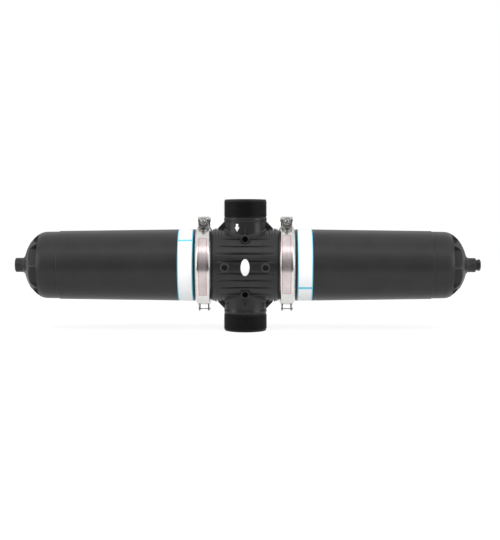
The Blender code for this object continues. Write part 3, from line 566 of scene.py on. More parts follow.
def oval_shell(rings, half_x, half_z, rise):
    """An oval plate that follows the barrel, from (share of the half width, share of the rise) points."""
    bm = turned_shell([(-height, share) for share, height in rings], "Y", 72)
    for v in bm.verts:
        v.co.x *= half_x
        v.co.z *= half_z
        v.co.y = -sqrt(BARREL_R ** 2 - v.co.z ** 2) + v.co.y * rise
    return bm


shells.append(oval_shell([(0, 1), (0.5, 1), (0.97, 1), (1, 0.3), (1, -14), (0.5, -14), (0, -14)],
                         BADGE_HALF_X + PAD_MARGIN, BADGE_HALF_Z + PAD_MARGIN, PAD_RISE))
plate = [(0, 1.0), (0.3, 1.0), (0.6, 0.97), (0.8, 0.90), (0.89, 0.84), (0.915, 0.68), (0.935, 0.66),
         (0.955, 0.78), (0.985, 0.70), (1, 0.42), (1, 0.1), (0.5, 0.1), (0, 0.1)]
dress("badge", oval_shell(plate, BADGE_HALF_X, BADGE_HALF_Z, BADGE_RISE), badge_white, "filter_body")

stem_x, head_x = 0.0024, 0.0049
head_z = ARROW_TOP - 0.0068
arrow_outline = [(stem_x, ARROW_TOP), (stem_x, head_z), (head_x, head_z), (0.0, ARROW_TOP - ARROW_LEN),
                 (-head_x, head_z), (-stem_x, head_z), (-stem_x, ARROW_TOP)]
arrow_bm = rounded(sheet_shape(arrow_outline, -0.001, 0.0, "Y"), 0.0002)
for cut in (-0.003, -0.0015, 0.0, 0.0015, 0.003):
    bmesh.ops.bisect_plane(arrow_bm, geom=arrow_bm.verts[:] + arrow_bm.edges[:] + arrow_bm.faces[:],
                           plane_co=(cut, 0, 0), plane_no=(1, 0, 0))
for v in arrow_bm.verts:
    v.co.x += ARROW_X
    v.co.y += 0.001 - ARROW_RISE - sqrt(NECK_R ** 2 - v.co.x ** 2)
dress("flow_arrow", arrow_bm, badge_white, "filter_body")

# Collector
# The tube across the middle takes filtered water from both spines, and its duct leads down to the outlet
COLLECTOR_R = 0.036
COLLECTOR_BORE_R = 0.031
COLLECTOR_HALF = 0.062
DUCT_TOP = 0.006
DUCT_FLOOR = DUCT_TOP - 0.026
tube = turned_shell([(-COLLECTOR_HALF, COLLECTOR_BORE_R), (-COLLECTOR_HALF, COLLECTOR_R),
                     (COLLECTOR_HALF, COLLECTOR_R), (COLLECTOR_HALF, COLLECTOR_BORE_R)], "X", 72)
tube = carved(tube, turned_shell([(DUCT_FLOOR, 0.0), (DUCT_FLOOR, PORT_BORE_R),
                                  (-COLLECTOR_R - 0.01, PORT_BORE_R), (-COLLECTOR_R - 0.01, 0.0)],
                                 "Z", 64, 0.02))
duct = turned_shell([(DUCT_FLOOR, 0.0), (DUCT_FLOOR, PORT_BORE_R), (-CAVITY_R + 0.002, PORT_BORE_R),
                     (-CAVITY_R + 0.002, NECK_R), (DUCT_TOP - 0.001, NECK_R), (DUCT_TOP, NECK_R - 0.001),
                     (DUCT_TOP, 0.0)], "Z", 96, 0.03)
duct = carved(duct, turned_shell([(-COLLECTOR_HALF, 0.0), (-COLLECTOR_HALF, COLLECTOR_BORE_R),
                                  (COLLECTOR_HALF, COLLECTOR_BORE_R), (COLLECTOR_HALF, 0.0)], "X", 72, 0.01))
hole = [(CAVITY_R - 0.012, 0.0), (CAVITY_R - 0.012, NECK_R - 0.003), (BARREL_R + 0.004, NECK_R - 0.003),
        (BARREL_R + 0.004, 0.0)]
holes = [turned_shell(hole, "Z", 64, 0.01), placed(turned_shell(hole, "Z", 64, 0.01), flip)]
barrel = carved(barrel_bm, joined(*holes, *boss_cutters))
manifold = dress("manifold_moulding", joined(barrel, tube, duct, *shells), body_plastic, "filter_body",
                 ["manifold_body"])

# The cut threads are duller than the moulded skin and darker, a painted shade of their grooves; the blind
# sockets are matt and near black inside, a painted shade; the two side bosses' standing rims are a painted
# highlight
dull_thread_painted_shade = grained("dull_thread_painted_shade", (0.004, 0.004, 0.004), (0.008, 0.008, 0.008), 0.42, 0.55,
                         depth=0.3, specular=0.22)
socket_painted_shade = grained("socket_painted_shade", (0.002, 0.002, 0.002), (0.003, 0.003, 0.003), 0.75, 0.90,
                         specular=0.08)
rim_painted_highlight = grained("rim_painted_highlight", (0.022, 0.022, 0.022), (0.032, 0.032, 0.032), 0.30, 0.42,
                         specular=0.40)
for plastic in (dull_thread_painted_shade, socket_painted_shade, rim_painted_highlight):
    manifold.data.materials.append(plastic)
THREAD, SOCKET, RIM_HIGHLIGHT = 1, 2, 3
for face in manifold.data.polygons:
    x, y, z = face.center
    # Thread zone: a duller finish, and a darker colour that is painted shade of the grooves
    if abs(z) > collar_z + 0.0004 and hypot(x, y) > root_r - 0.0022:
        face.material_index = THREAD
    # Socket insides: matt, with a near black colour that is painted shade
    for boss_x, boss_z, (radius, front, foot) in bosses:
        if hypot(x - boss_x, z - boss_z) < BOSS_HOLE_R + 0.0001 and -front < y < -front + BOSS_DEPTH + 0.001:
            face.material_index = SOCKET
    # Side bosses' standing rims: a lighter plastic that is a painted highlight
    on_rim = hypot(abs(x) - SIDE_BOSS_X, z) < SIDE_BOSS[0] and y < -SIDE_BOSS[1] + 0.0016
    if on_rim and face.material_index != SOCKET:
        face.material_index = RIM_HIGHLIGHT

# Covers
# Long bowls of the same nylon: a V flange and the label's seat at the clamp, a step where the end part
# is welded on, and a domed end lightened by eight flat-floored pockets round a drain stub
COVER_OPEN_R = BARREL_R - 0.0007
COVER_WALL = 0.0048
COVER_SEAM_X = 0.384
COVER_SEAM_R = COVER_OPEN_R - 0.0037
END_R = COVER_SEAM_R - 0.0013
END_X = COVER_SEAM_X + 0.025
DOME_TOP_X = END_X + 0.0495
DOME_R = END_R - 0.0003
DOME_ROUND, DOME_FLAT = 2.05, 0.56        # powers that shape the shoulder and the crown
POCKETS = 8
POCKET_X = END_X + 0.0135
POCKET_FLOOR = END_R - 0.0215
POCKET_WALL = 0.0042
CROWN_X = END_X + 0.0445
RIB_TURN = radians(2.0)
RIB_FOOT = 0.0029
STUB_R = 0.0148
STUB_END_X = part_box("right_cover")[1][0]
STUB_ROUND = 0.0024
PLUG_BORE_R = 0.01065
SHOULDER_X = CLAMP_X + 0.0179
SEAT_X0 = SHOULDER_X + 0.0030        # the label's seat, from here to SEAT_X1
SEAT_X1 = SEAT_X0 + 0.0315
LABEL_DEPTH = 0.0011


def skin(x):
    """Outside radius of the long drafted part of a cover."""
    return COVER_OPEN_R - (COVER_OPEN_R - COVER_SEAM_R) * (x - SHOULDER_X) / (COVER_SEAM_X - SHOULDER_X)


def dome(x):
    """Outside radius of the domed end: a round shoulder that runs into a flatter crown."""
    t = min(1.0, max(0.0, (x - END_X) / (DOME_TOP_X - END_X)))
    return DOME_R * (1 - t ** DOME_ROUND) ** DOME_FLAT


def dome_x(radius):
    """Place along the domed end at which it has the given radius."""
    return END_X + (DOME_TOP_X - END_X) * (1 - (radius / DOME_R) ** (1 / DOME_FLAT)) ** (1 / DOME_ROUND)


# Columns of one pocket: the sideways offset from a rib's middle with how far down the wall it is, or, on
# the floor, the share of the way from the pocket's middle to its wall
rib_columns = [(0.0, 0.0), (0.0012, 0.0), (0.00172, 0.02), (0.00194, 0.10), (0.0020, 0.24), (0.00202, 0.80),
               (0.0021, 0.93), (0.0024, 0.985), (RIB_FOOT, 1.0)]
pocket_columns = [("rib", b, drop) for b, drop in rib_columns]
pocket_columns += [("floor", share, 1.0) for share in (0.86, 0.7, 0.5, 0.25, 0.0, -0.25, -0.5, -0.7, -0.86)]
pocket_columns += [("rib", -b, drop) for b, drop in reversed(rib_columns[1:])]

# Rings from the open end to the stub; inside a pocket a ring is a rule, with a place and a rise
open_rings = [(CLAMP_X + 0.0002, FLANGE_R - 0.0005), (CLAMP_X + 0.0006, FLANGE_R),
              (CLAMP_X + FLANGE_U, FLANGE_R), (CLAMP_X + FLANGE_ROOT_U, GROOVE_R), (SHOULDER_X, GROOVE_R),
              (SHOULDER_X + 0.0001, COVER_OPEN_R - 0.0006), (SHOULDER_X + 0.0006, COVER_OPEN_R - 0.0001),
              (SEAT_X0 - 0.0004, skin(SEAT_X0)), (SEAT_X0, skin(SEAT_X0) - 0.0003),
              (SEAT_X0 + 0.0001, skin(SEAT_X0) - LABEL_DEPTH),
              (SEAT_X1 - 0.0001, skin(SEAT_X1) - LABEL_DEPTH),
              (SEAT_X1, skin(SEAT_X1) - 0.0003), (SEAT_X1 + 0.0004, skin(SEAT_X1))]
open_rings += [(x, skin(x)) for x in (0.19, 0.24, 0.29, 0.34, COVER_SEAM_X - 0.003, COVER_SEAM_X - 0.0008)]
open_rings += [(COVER_SEAM_X - 0.0003, COVER_SEAM_R - 0.0001), (COVER_SEAM_X + 0.0001, COVER_SEAM_R - 0.0004),
               (COVER_SEAM_X + 0.0003, COVER_SEAM_R - 0.0014), (COVER_SEAM_X + 0.0008, END_R - 0.0003),
               (COVER_SEAM_X + 0.0016, END_R), (END_X - 0.008, END_R - 0.0002)]
open_rings += [(x, dome(x)) for x in (END_X + 0.0005 * i ** 1.4 for i in range(13))]
pocket_rules = [("lip", -0.0020, 0.0), ("lip", -0.0012, 0.00008), ("lip", -0.0005, 0.0004),
                ("lip", -0.0001, 0.0012), ("root", 0.0, -0.0018), ("root", 0.0003, -0.0022),
                ("root", 0.0013, -0.0022), ("root", 0.0016, -0.0003), ("root", 0.0020, 0.0)]
pocket_rules += [("bed", t, 0.0) for t in (0.15, 0.32, 0.5, 0.68, 0.84, 0.95)]
pocket_rules += [("brow", t, 0.0) for t in (0.0, 0.04, 0.16, 0.36, 0.6, 0.8, 1.0)]
stub_rings = [(CROWN_X + 0.0012, dome(CROWN_X + 0.0012)), (CROWN_X + 0.0024, dome(CROWN_X + 0.0024)),
              (DOME_TOP_X - 0.0018, STUB_R + 0.0044), (DOME_TOP_X - 0.0002, STUB_R + 0.0022),
              (DOME_TOP_X + 0.0012, STUB_R + 0.0008), (DOME_TOP_X + 0.0030, STUB_R)]
stub_rings += round_corner((STUB_END_X - STUB_ROUND, STUB_R - STUB_ROUND), STUB_ROUND, 90, 0, 5)


def pocket_ring(rule, angle):
    """Place and radius of a pocket's ring at an angle from the pocket's middle."""
    kind, t, rise = rule
    floor_r = POCKET_FLOOR / cos(angle)
    edge = dome_x(floor_r)
    if kind == "lip":
        return POCKET_X + t, dome(POCKET_X + t) - rise
    if kind == "root":
        return POCKET_X + t, floor_r + rise
    if kind == "bed":
        return POCKET_X + 0.0020 + t * (edge - POCKET_X - 0.0020), floor_r
    x = edge + 0.0001 + t * (CROWN_X - edge - 0.0001)
    return x, min(floor_r, dome(x))


def rib_ring(rule):
    """Where the same ring crosses the top of the rib beside the pocket."""
    x = pocket_ring(rule, pi / POCKETS)[0]
    return x, dome(x)


def cover_shell(inner, tail):
    """A cover's closed shell: the inner surface outwards to the open end, the outside, then the tail."""
    rings = inner + open_rings + [rib_ring(rule) for rule in pocket_rules] + stub_rings + tail
    first = len(inner) + len(open_rings)
    steps = POCKETS * len(pocket_columns)
    root_r = POCKET_FLOOR / cos(pi / POCKETS)
    floor_reach = pi / POCKETS - asin(RIB_FOOT / root_r)
    bm = turned_shell(rings, "X", steps)
    for v in bm.verts:
        r = hypot(v.co.y, v.co.z)
        if r < 1e-6:
            continue
        raw = atan2(-v.co.y, v.co.z) % (2 * pi)
        pocket, column = divmod(round(raw / (2 * pi) * steps) % steps, len(pocket_columns))
        ring = min(range(len(rings)), key=lambda i: abs(rings[i][0] - v.co.x) + abs(rings[i][1] - r))
        kind, value, drop = pocket_columns[column]
        rule = pocket_rules[ring - first] if 0 <= ring - first < len(pocket_rules) else None
        rib = 2 * pi * pocket / POCKETS + RIB_TURN
        x = v.co.x
        if kind == "rib":
            if rule and drop:
                low_x, low_r = pocket_ring(rule, pi / POCKETS - asin(abs(value) / root_r))
                x, r = x + (low_x - x) * drop, r + (low_r - r) * drop
            turn_by = rib + (2 * pi / POCKETS if value < 0 else 0) + asin(value / max(r, 0.03))
        else:
            reach = floor_reach if rule else pi / POCKETS - asin(RIB_FOOT / max(r, 0.03))
            aside = atan2(value * tan(reach), 1.0)
            if rule:
                x, r = pocket_ring(rule, aside)
            turn_by = rib + pi / POCKETS - aside
        v.co = (x, -r * sin(turn_by), r * cos(turn_by))
    return bm


SIDES = ((-1, "left"), (1, "right"))
outward = {1: Matrix.Identity(4), -1: Matrix.Rotation(pi, 4, "Y")}
floor_in = POCKET_FLOOR - POCKET_WALL
inner_skin = [(DOME_TOP_X - 0.0055, 0.0165), (POCKET_X + 0.0170, floor_in),
              (POCKET_X - POCKET_WALL, floor_in),
              (POCKET_X - POCKET_WALL, floor_in + 0.012), (END_X + 0.0045, END_R - COVER_WALL - 0.003),
              (END_X - 0.0105, END_R - COVER_WALL),
              (CLAMP_X + 0.0002, COVER_OPEN_R - LABEL_DEPTH - COVER_WALL)]
blind_core = [(STUB_END_X - 0.006, 0.0), (STUB_END_X - 0.006, 0.0075), (DOME_TOP_X - 0.005, 0.009)]
bore = [(STUB_END_X, PLUG_BORE_R + 0.0008), (STUB_END_X - 0.0008, PLUG_BORE_R),
        (DOME_TOP_X - 0.005, PLUG_BORE_R)]
right_shell = cover_shell(inner_skin, bore)
left_shell = placed(cover_shell(blind_core + inner_skin, [(STUB_END_X, 0.0)]), outward[-1])
dress("right_cover_moulding", right_shell, cover_plastic, "filter_body", ["right_cover"], crease=34)
dress("left_cover_moulding", left_shell, cover_plastic, "filter_body", ["left_cover"], crease=34)

# Label sleeves
# A thin white film sleeve lies in a seat round each cover, beside the clamp. Its edges and one line across
# it are printed azure
SLEEVE_GAP = 0.00035
EDGE_LINE = 0.0018
CROSS_HALF = 0.0027
CROSS_AT = {-1: radians(46.6), 1: radians(-35.2)}      # above the front


def marked(obj, name, value_of):
    """Writes a number on each of a mesh's points, for its material to read."""
    layer = obj.data.attributes.new(name, "FLOAT", "POINT")
    layer.data.foreach_set("value", [value_of(v.co) for v in obj.data.vertices])


def printed_line_group():
    """Printed line: its ink replaces the bare colour where the gap to the line is small."""
    group = bpy.data.node_groups.new("printed_line", "ShaderNodeTree")
    for name, kind in (("Bare", "NodeSocketColor"), ("Ink", "NodeSocketColor"), ("Gap", "NodeSocketFloat"),
                       ("Full Ink To", "NodeSocketFloat"), ("Bare From", "NodeSocketFloat")):
        group.interface.new_socket(name=name, in_out="INPUT", socket_type=kind)
    group.interface.new_socket(name="Color", in_out="OUTPUT", socket_type="NodeSocketColor")
    given = group.nodes.new("NodeGroupInput").outputs
    line = add_node(group, "MapRange", {"Value": given["Gap"], "From Min": given["Full Ink To"],
                                        "From Max": given["Bare From"], "To Min": 1.0, "To Max": 0.0},
                    interpolation_type="SMOOTHSTEP")
    inked = add_node(group, "Mix", {"Factor": line.outputs["Result"], "A": given["Bare"], "B": given["Ink"]},
                     data_type="RGBA")
    group.links.new(inked.outputs["Result"], group.nodes.new("NodeGroupOutput").inputs["Color"])
    return group


printed_line = printed_line_group()


def print_line(film, mark, full_to, bare_from, ink):
    """Prints a line on a film, whose points carry their gap to it under the given name."""
    tree = film.node_tree
    colour = tree.nodes["Principled BSDF"].inputs["Base Color"]
    gap = add_node(tree, "Attribute", attribute_name=mark)
    line = add_node(tree, "Group", {"Bare": colour.links[0].from_socket, "Ink": (*ink, 1),
                                    "Gap": gap.outputs["Fac"], "Full Ink To": full_to,
                                    "Bare From": bare_from}, node_tree=printed_line)
    tree.links.new(line.outputs["Color"], colour)


sleeve_film = grained("sleeve_film", (0.76, 0.77, 0.78), (0.82, 0.83, 0.84), 0.30, 0.42, size=260.0,
                      depth=0.05)
AZURE = (0.13, 0.52, 0.68)
print_line(sleeve_film, "edge_gap", EDGE_LINE, EDGE_LINE + 0.0003, AZURE)
print_line(sleeve_film, "line_gap", CROSS_HALF, CROSS_HALF + 0.0002, AZURE)

base, end = SEAT_X0 + SLEEVE_GAP, SEAT_X1 - SLEEVE_GAP
for side, name in SIDES:
    sleeve = [(base, skin(base) - LABEL_DEPTH + SLEEVE_GAP), (base, skin(base) - 0.0002),
              (base + 0.0002, skin(base))]
    sleeve += [(x, skin(x)) for x in (base + EDGE_LINE, base + EDGE_LINE + 0.0003,
                                      end - EDGE_LINE - 0.0003, end - EDGE_LINE)]
    sleeve += [(end - 0.0002, skin(end)), (end, skin(end) - 0.0002),
               (end, skin(end) - LABEL_DEPTH + SLEEVE_GAP)]
    cross = pi / 2 - CROSS_AT[side]
    shell = turned_shell(sleeve, "X", 180, cross if side > 0 else pi - cross)
    sleeve = dress(name + "_sleeve", placed(shell, outward[side]), sleeve_film, "filter_body",
                   [name + "_label_sleeve"])
    marked(sleeve, "edge_gap", lambda co: min(abs(co.x) - base, end - abs(co.x)))
    marked(sleeve, "line_gap",
           lambda co: abs((atan2(-co.y, co.z) - cross + pi) % (2 * pi) - pi) * COVER_OPEN_R)

# Clamp bands
# Two halves of polished stainless strip, rolled into a channel with generous bends, that pull the flanges
# together. The halves meet at a hinge below and at a latch on top, and a pinkish film strip lies on the front
CLAMP_R = 0.0823
BAND_R = CLAMP_R - 0.0002
BAND_FLAT = 0.0128
BAND_EDGE = (0.0172, 0.0750)        # where the channel's sloping sides end, along X and in radius
SHEET = 0.0015
BAND_TOP = radians(18.5)
BAND_LOW = radians(2.5)
HINGE_R = CLAMP_R + 0.0087
HINGE_FOOT_R = HINGE_R + 0.0048
HINGE_PIN_R = 0.0014
EAR_U = 0.0077
STRIP_CORNER = 0.0022
STRIP_FRAME = (0.0008, 0.0014)      # how far from the strip's rim its thin frame is full, and has faded out
STRIP_RED = (0.44, 0.24, 0.25)
# Each side's film strip: its middle and half width along X, and its ends in degrees above the front
STRIPS = {-1: (-0.0004, 0.0085, -45.4, 45.4), 1: (-0.0014, 0.0095, -41.5, 51.7)}


def soft_corners(corners, steps=4):
    """Closed outline with round corners, from (a, b, corner radius) points."""
    points = []
    for i, (a, b, radius) in enumerate(corners):
        here = Vector((a, b))
        back = (Vector(corners[i - 1][:2]) - here).normalized()
        on = (Vector(corners[(i + 1) % len(corners)][:2]) - here).normalized()
        half = back.angle(on) / 2
        centre = here + (back + on).normalized() * radius / sin(half)
        first, last = here + back * radius / tan(half) - centre, here + on * radius / tan(half) - centre
        points += [tuple(centre + first.lerp(last, k / steps).normalized() * radius)
                   for k in range(steps + 1)]
    return points


def part_turned(section, start, sweep, steps):
    """Closed solid turned part of the way round X from a closed (along, radius) outline."""
    bm = bmesh.new()
    verts = [bm.verts.new((a, -r * sin(start), r * cos(start))) for a, r in section]
    edges = [bm.edges.new((verts[i - 1], verts[i])) for i in range(len(verts))]
    bmesh.ops.spin(bm, geom=verts + edges, cent=(0, 0, 0), axis=(1, 0, 0), angle=sweep, steps=steps)
    bmesh.ops.holes_fill(bm, edges=[e for e in bm.edges if e.is_boundary], sides=0)
    bmesh.ops.recalc_face_normals(bm, faces=bm.faces)
    return bm


# The band is brushed: fine lines run round it, over slower changes of tone
band_steel = bpy.data.materials.new("band_steel")
band_steel.use_nodes = True
tree = band_steel.node_tree
place = add_node(tree, "TexCoord").outputs["Object"]
split = add_node(tree, "SeparateXYZ", {0: place}).outputs
round_it = add_node(tree, "Math", {0: split["Y"], 1: split["Z"]}, operation="ARCTAN2")
over_it = add_node(tree, "Math", {0: split["X"], 1: 220.0}, operation="MULTIPLY")
line_up = add_node(tree, "CombineXYZ", {"X": over_it.outputs[0], "Y": round_it.outputs[0]})
lines = add_node(tree, "TexNoise", {"Vector": line_up.outputs[0], "Scale": 9.0, "Detail": 5})
slow = add_node(tree, "TexNoise", {"Vector": place, "Scale": 45.0, "Detail": 2})
mixed = add_node(tree, "Math", {0: lines.outputs["Fac"], 1: 0.6, 2: slow.outputs["Fac"]},
                 operation="MULTIPLY_ADD")
spread = add_node(tree, "MapRange", {"Value": mixed.outputs[0], "From Min": 0.55, "From Max": 1.05})
tone = add_node(tree, "Mix", {"Factor": spread.outputs["Result"], "A": (0.62, 0.61, 0.59, 1),
                              "B": (0.74, 0.73, 0.71, 1)}, data_type="RGBA")
gloss = add_node(tree, "MapRange", {"Value": spread.outputs["Result"], "To Min": 0.13, "To Max": 0.26})
relief = add_node(tree, "Bump", {"Height": mixed.outputs[0], "Strength": 0.10, "Distance": 0.0001})
shader = tree.nodes["Principled BSDF"]
shader.inputs["Metallic"].default_value = 1.0
tree.links.new(tone.outputs["Result"], shader.inputs["Base Color"])
tree.links.new(gloss.outputs["Result"], shader.inputs["Roughness"])
tree.links.new(relief.outputs["Normal"], shader.inputs["Normal"])

band_slope = Vector((BAND_EDGE[0] - BAND_FLAT, BAND_EDGE[1] - CLAMP_R)).normalized()
inwards = Vector((band_slope.y, -band_slope.x)) * SHEET
tip = Vector(BAND_EDGE) + inwards
inner_flat = BAND_FLAT + inwards.x + band_slope.x * (-SHEET - inwards.y) / band_slope.y
right_half = [(BAND_FLAT, BAND_R, 0.0034), (BAND_EDGE[0], BAND_EDGE[1], 0.0005), (tip.x, tip.y, 0.0005),
              (inner_flat, CLAMP_R - SHEET, 0.0018)]
band_section = soft_corners(right_half + [(-u, r, c) for u, r, c in reversed(right_half)], 5)

ear_shape = soft_corners([(-0.0125, -CLAMP_R + 0.0017, 0.0003), (-0.0128, -CLAMP_R - 0.0015, 0.0012),
                          (-0.0035, -HINGE_FOOT_R, 0.0018), (0.0022, -HINGE_FOOT_R + 0.0022, 0.0018),
                          (0.0030, -HINGE_R, 0.0015), (0.0022, -HINGE_R + 0.0034, 0.0020),
                          (-0.0042, -CLAMP_R + 0.0005, 0.0003)], 3)


def pin_hole(radius, steps):
    """Cutter along X for a pin's hole, a little wider than the pin."""
    hole_r = radius + 0.0003
    return turned_shell([(-0.02, 0.0), (-0.02, hole_r), (0.02, hole_r), (0.02, 0.0)], "X", steps)


to_rear = Matrix.Rotation(pi, 4, "Z")
half_bands = {}
for half_name, front in (("front", True), ("rear", False)):
    inner_u = EAR_U + (SHEET + 0.0003 if front else 0)
    ears = [rounded(sheet_shape(ear_shape, k * inner_u, k * (inner_u + SHEET), "X"), 0.0003) for k in (1, -1)]
    ears = carved(joined(*ears), placed(pin_hole(HINGE_PIN_R, 24), Matrix.Translation((0, 0, -HINGE_R))))
    strip = part_turned(band_section, BAND_TOP, pi - BAND_TOP - BAND_LOW, 84)
    bm = joined(strip, ears)
    half_bands[half_name] = bm if front else placed(bm, to_rear)

# The hinge ears are the band's steel painted much darker: a painted dark reflection and shade
ear_steel_painted_dark = grained("ear_steel_painted_dark", (0.10, 0.098, 0.095), (0.24, 0.235, 0.23), 0.16, 0.34, size=500.0,
                      depth=0.10, metallic=1.0)
strip_film = grained("strip_film", (0.50, 0.425, 0.43), (0.66, 0.60, 0.595), 0.16, 0.28, size=500.0,
                     depth=0.04, metallic=0.86)
print_line(strip_film, "rim_gap", *STRIP_FRAME, STRIP_RED)

for side, name in SIDES:
    to_place = Matrix.Translation((side * CLAMP_X, 0, 0))
    for half_name, bm in half_bands.items():
        band = dress(name + "_band_" + half_name, placed(bm.copy(), to_place), band_steel, "filter_body",
                     [name + "_clamp_" + half_name])
        band.data.materials.append(ear_steel_painted_dark)
        # Faces beyond the band, on the ears, take the steel with the painted dark reflection and shade
        for face in band.data.polygons:
            if hypot(face.center.y, face.center.z) > CLAMP_R + 0.0002:
                face.material_index = 1
    # The film's corners are rounded: its rows lie close together at each end, and narrow towards it
    middle, half_w, low_end, high_end = STRIPS[side]
    start, sweep = pi / 2 - radians(high_end), radians(high_end - low_end)
    low_r, high_r = BAND_R - 0.0002, CLAMP_R - 0.00008
    across = [half_w * t for t in (-1, -0.86, -0.6, 0, 0.6, 0.86, 1)]
    section = [(u, high_r) for u in across] + [(u, low_r) for u in reversed(across)]
    corner = [STRIP_CORNER * (1 - cos(pi / 2 * i / 8)) for i in range(9)]
    span = sweep * CLAMP_R
    rows = corner + [STRIP_CORNER + (span - 2 * STRIP_CORNER) * i / 60 for i in range(1, 60)]
    rows += [span - c for c in reversed(corner)]
    bm = part_turned(section, start, sweep, len(rows) - 1)
    for v in bm.verts:
        r = hypot(v.co.y, v.co.z)
        row = round((atan2(-v.co.y, v.co.z) - start) / sweep * (len(rows) - 1))
        from_end = min(rows[row], span - rows[row])
        if from_end < STRIP_CORNER:
            drawn_in = STRIP_CORNER - sqrt(STRIP_CORNER ** 2 - (STRIP_CORNER - from_end) ** 2)
            v.co.x *= (half_w - drawn_in) / half_w
        turn_by = start + rows[row] / CLAMP_R
        v.co.y, v.co.z = -r * sin(turn_by), r * cos(turn_by)
    rim = dress(name + "_film_strip", placed(bm, Matrix.Translation((side * CLAMP_X + middle, 0, 0))),
                strip_film, "filter_body")
    marked(rim, "rim_gap", lambda co: min(
        half_w - abs(co.x - side * CLAMP_X - middle), (atan2(-co.y, co.z) - start) * CLAMP_R,
        (start + sweep - atan2(-co.y, co.z)) * CLAMP_R))
for bm in half_bands.values():
    bm.free()

# Hinges and latches
# Below, a riveted pin joins the two halves' ears. On top, a swing bolt with a barrel eye turns on a pin in
# the rear bracket and lies in the front fork, where a washer and a hexagon nut pull the band tight
BOLT_Z = CLAMP_R + 0.0102
BOLT_R = 0.0039
LATCH_HALF_Y = CLAMP_R * sin(BAND_TOP)
PIVOT_Y = LATCH_HALF_Y - 0.0021
PIVOT_R = 0.003
EYE_R = 0.007
EYE_HALF = 0.0085
LUG_U, LUG_T = EYE_HALF + 0.0007, 0.0022
FORK_FRONT_Y = -LATCH_HALF_Y - 0.0001
FORK_BACK_Y = FORK_FRONT_Y + 0.0028
FORK_U = 0.0085
FORK_SLOT = BOLT_R + 0.0005
FORK_TIP_Z = BOLT_Z + 0.0093
FORK_TINE_Z = BOLT_Z + 0.0042
FOOT_R0 = CLAMP_R + 0.0003
FOOT_R1 = FOOT_R0 + 0.002
WASHER_R, WASHER_T = FORK_U - 0.0006, 0.0016
WASHER_Y = FORK_FRONT_Y - 0.0003 - WASHER_T
NUT_AF, NUT_T = 0.013, 0.0068
NUT_Y = WASHER_Y - 0.0003
BOLT_PITCH = 0.00125
BOLT_END_Y = FORK_FRONT_Y - WASHER_T - NUT_T - 0.0084

latch_steel = grained("latch_steel", (0.36, 0.355, 0.345), (0.60, 0.59, 0.57), 0.09, 0.22, size=500.0,
                      depth=0.08, metallic=1.0)
bolt_steel = grained("bolt_steel", (0.40, 0.40, 0.39), (0.64, 0.64, 0.63), 0.10, 0.24, size=800.0,
                     depth=0.08, metallic=1.0)


def hexed(bm, axis, across_flats, inside):
    """Draws the skin of a turned blank in to a hexagon, beyond the given radius."""
    k = "XYZ".index(axis)
    i, j = [n for n in range(3) if n != k]
    for v in bm.verts:
        r = hypot(v.co[i], v.co[j])
        if r > inside:
            angle = atan2(v.co[j], v.co[i])
            flat = across_flats / 2 / cos((angle + pi / 6) % (pi / 3) - pi / 6)
            if r > flat:
                v.co[i] *= flat / r
                v.co[j] *= flat / r
    return bm


def foot_plate(half_w, first, last, narrow_from=None):
    """Sheet bent to the band from one angle to another; its far end can narrow to a rounded point."""
    across = [half_w * t for t in (-1, -0.9, -0.45, 0, 0.45, 0.9, 1)]
    section = [(u, FOOT_R1 - (0.0003 if abs(u) == half_w else 0)) for u in across]
    section += [(u, FOOT_R0) for u in reversed(across)]
    bm = part_turned(section, first, last - first, 20)
    for v in bm.verts:
        t = (atan2(-v.co.y, v.co.z) - first) / (last - first)
        if narrow_from and t > narrow_from:
            v.co.x *= max(0.10, 1 - ((t - narrow_from) / (1 - narrow_from)) ** 1.1)
    return bm


slot_arc = [(FORK_SLOT * cos(pi * i / 14), BOLT_Z - FORK_SLOT * sin(pi * i / 14)) for i in range(15)]
wall_low = sqrt(FOOT_R0 ** 2 - FORK_BACK_Y ** 2) + 0.0003
wall_outline = [(-FORK_U, wall_low), (FORK_U, wall_low), (FORK_U, FORK_TINE_Z + 0.001),
                (FORK_U - 0.0006, FORK_TINE_Z), (FORK_SLOT + 0.0006, FORK_TINE_Z),
                (FORK_SLOT, FORK_TINE_Z - 0.0006)]
wall_outline += slot_arc + [(-FORK_SLOT, FORK_TINE_Z - 0.0006), (-FORK_SLOT - 0.0006, FORK_TINE_Z),
                            (-FORK_U + 0.0006, FORK_TINE_Z), (-FORK_U, FORK_TINE_Z + 0.001)]
fork = [rounded(sheet_shape(wall_outline, FORK_FRONT_Y, FORK_BACK_Y, "Y"), 0.0004)]
for k in (1, -1):
    cheek = soft_corners([(FORK_FRONT_Y - 0.0062, BOLT_Z - 0.0045, 0.0018),
                          (FORK_FRONT_Y - 0.0062, BOLT_Z + 0.0045, 0.0022),
                          (FORK_FRONT_Y - 0.0030, FORK_TIP_Z, 0.0008),
                          (FORK_BACK_Y - 0.0004, FORK_TIP_Z - 0.0035, 0.0014),
                          (FORK_BACK_Y, wall_low, 0.0003),
                          (FORK_FRONT_Y - 0.0004, wall_low, 0.0010)], 4)
    bm = rounded(sheet_shape(cheek, k * (FORK_U - 0.0002), k * (FORK_U + 0.0020), "X"), 0.0005)
    for v in bm.verts:
        v.co.x += k * max(0.0, v.co.z - BOLT_Z + 0.002) * 0.08
    fork.append(bm)
foot_start = asin(-(FORK_FRONT_Y + 0.001) / FOOT_R0)
fork.append(foot_plate(BAND_FLAT - 0.0005, foot_start, BAND_TOP + radians(12.5), 0.25))
fork = joined(*fork)

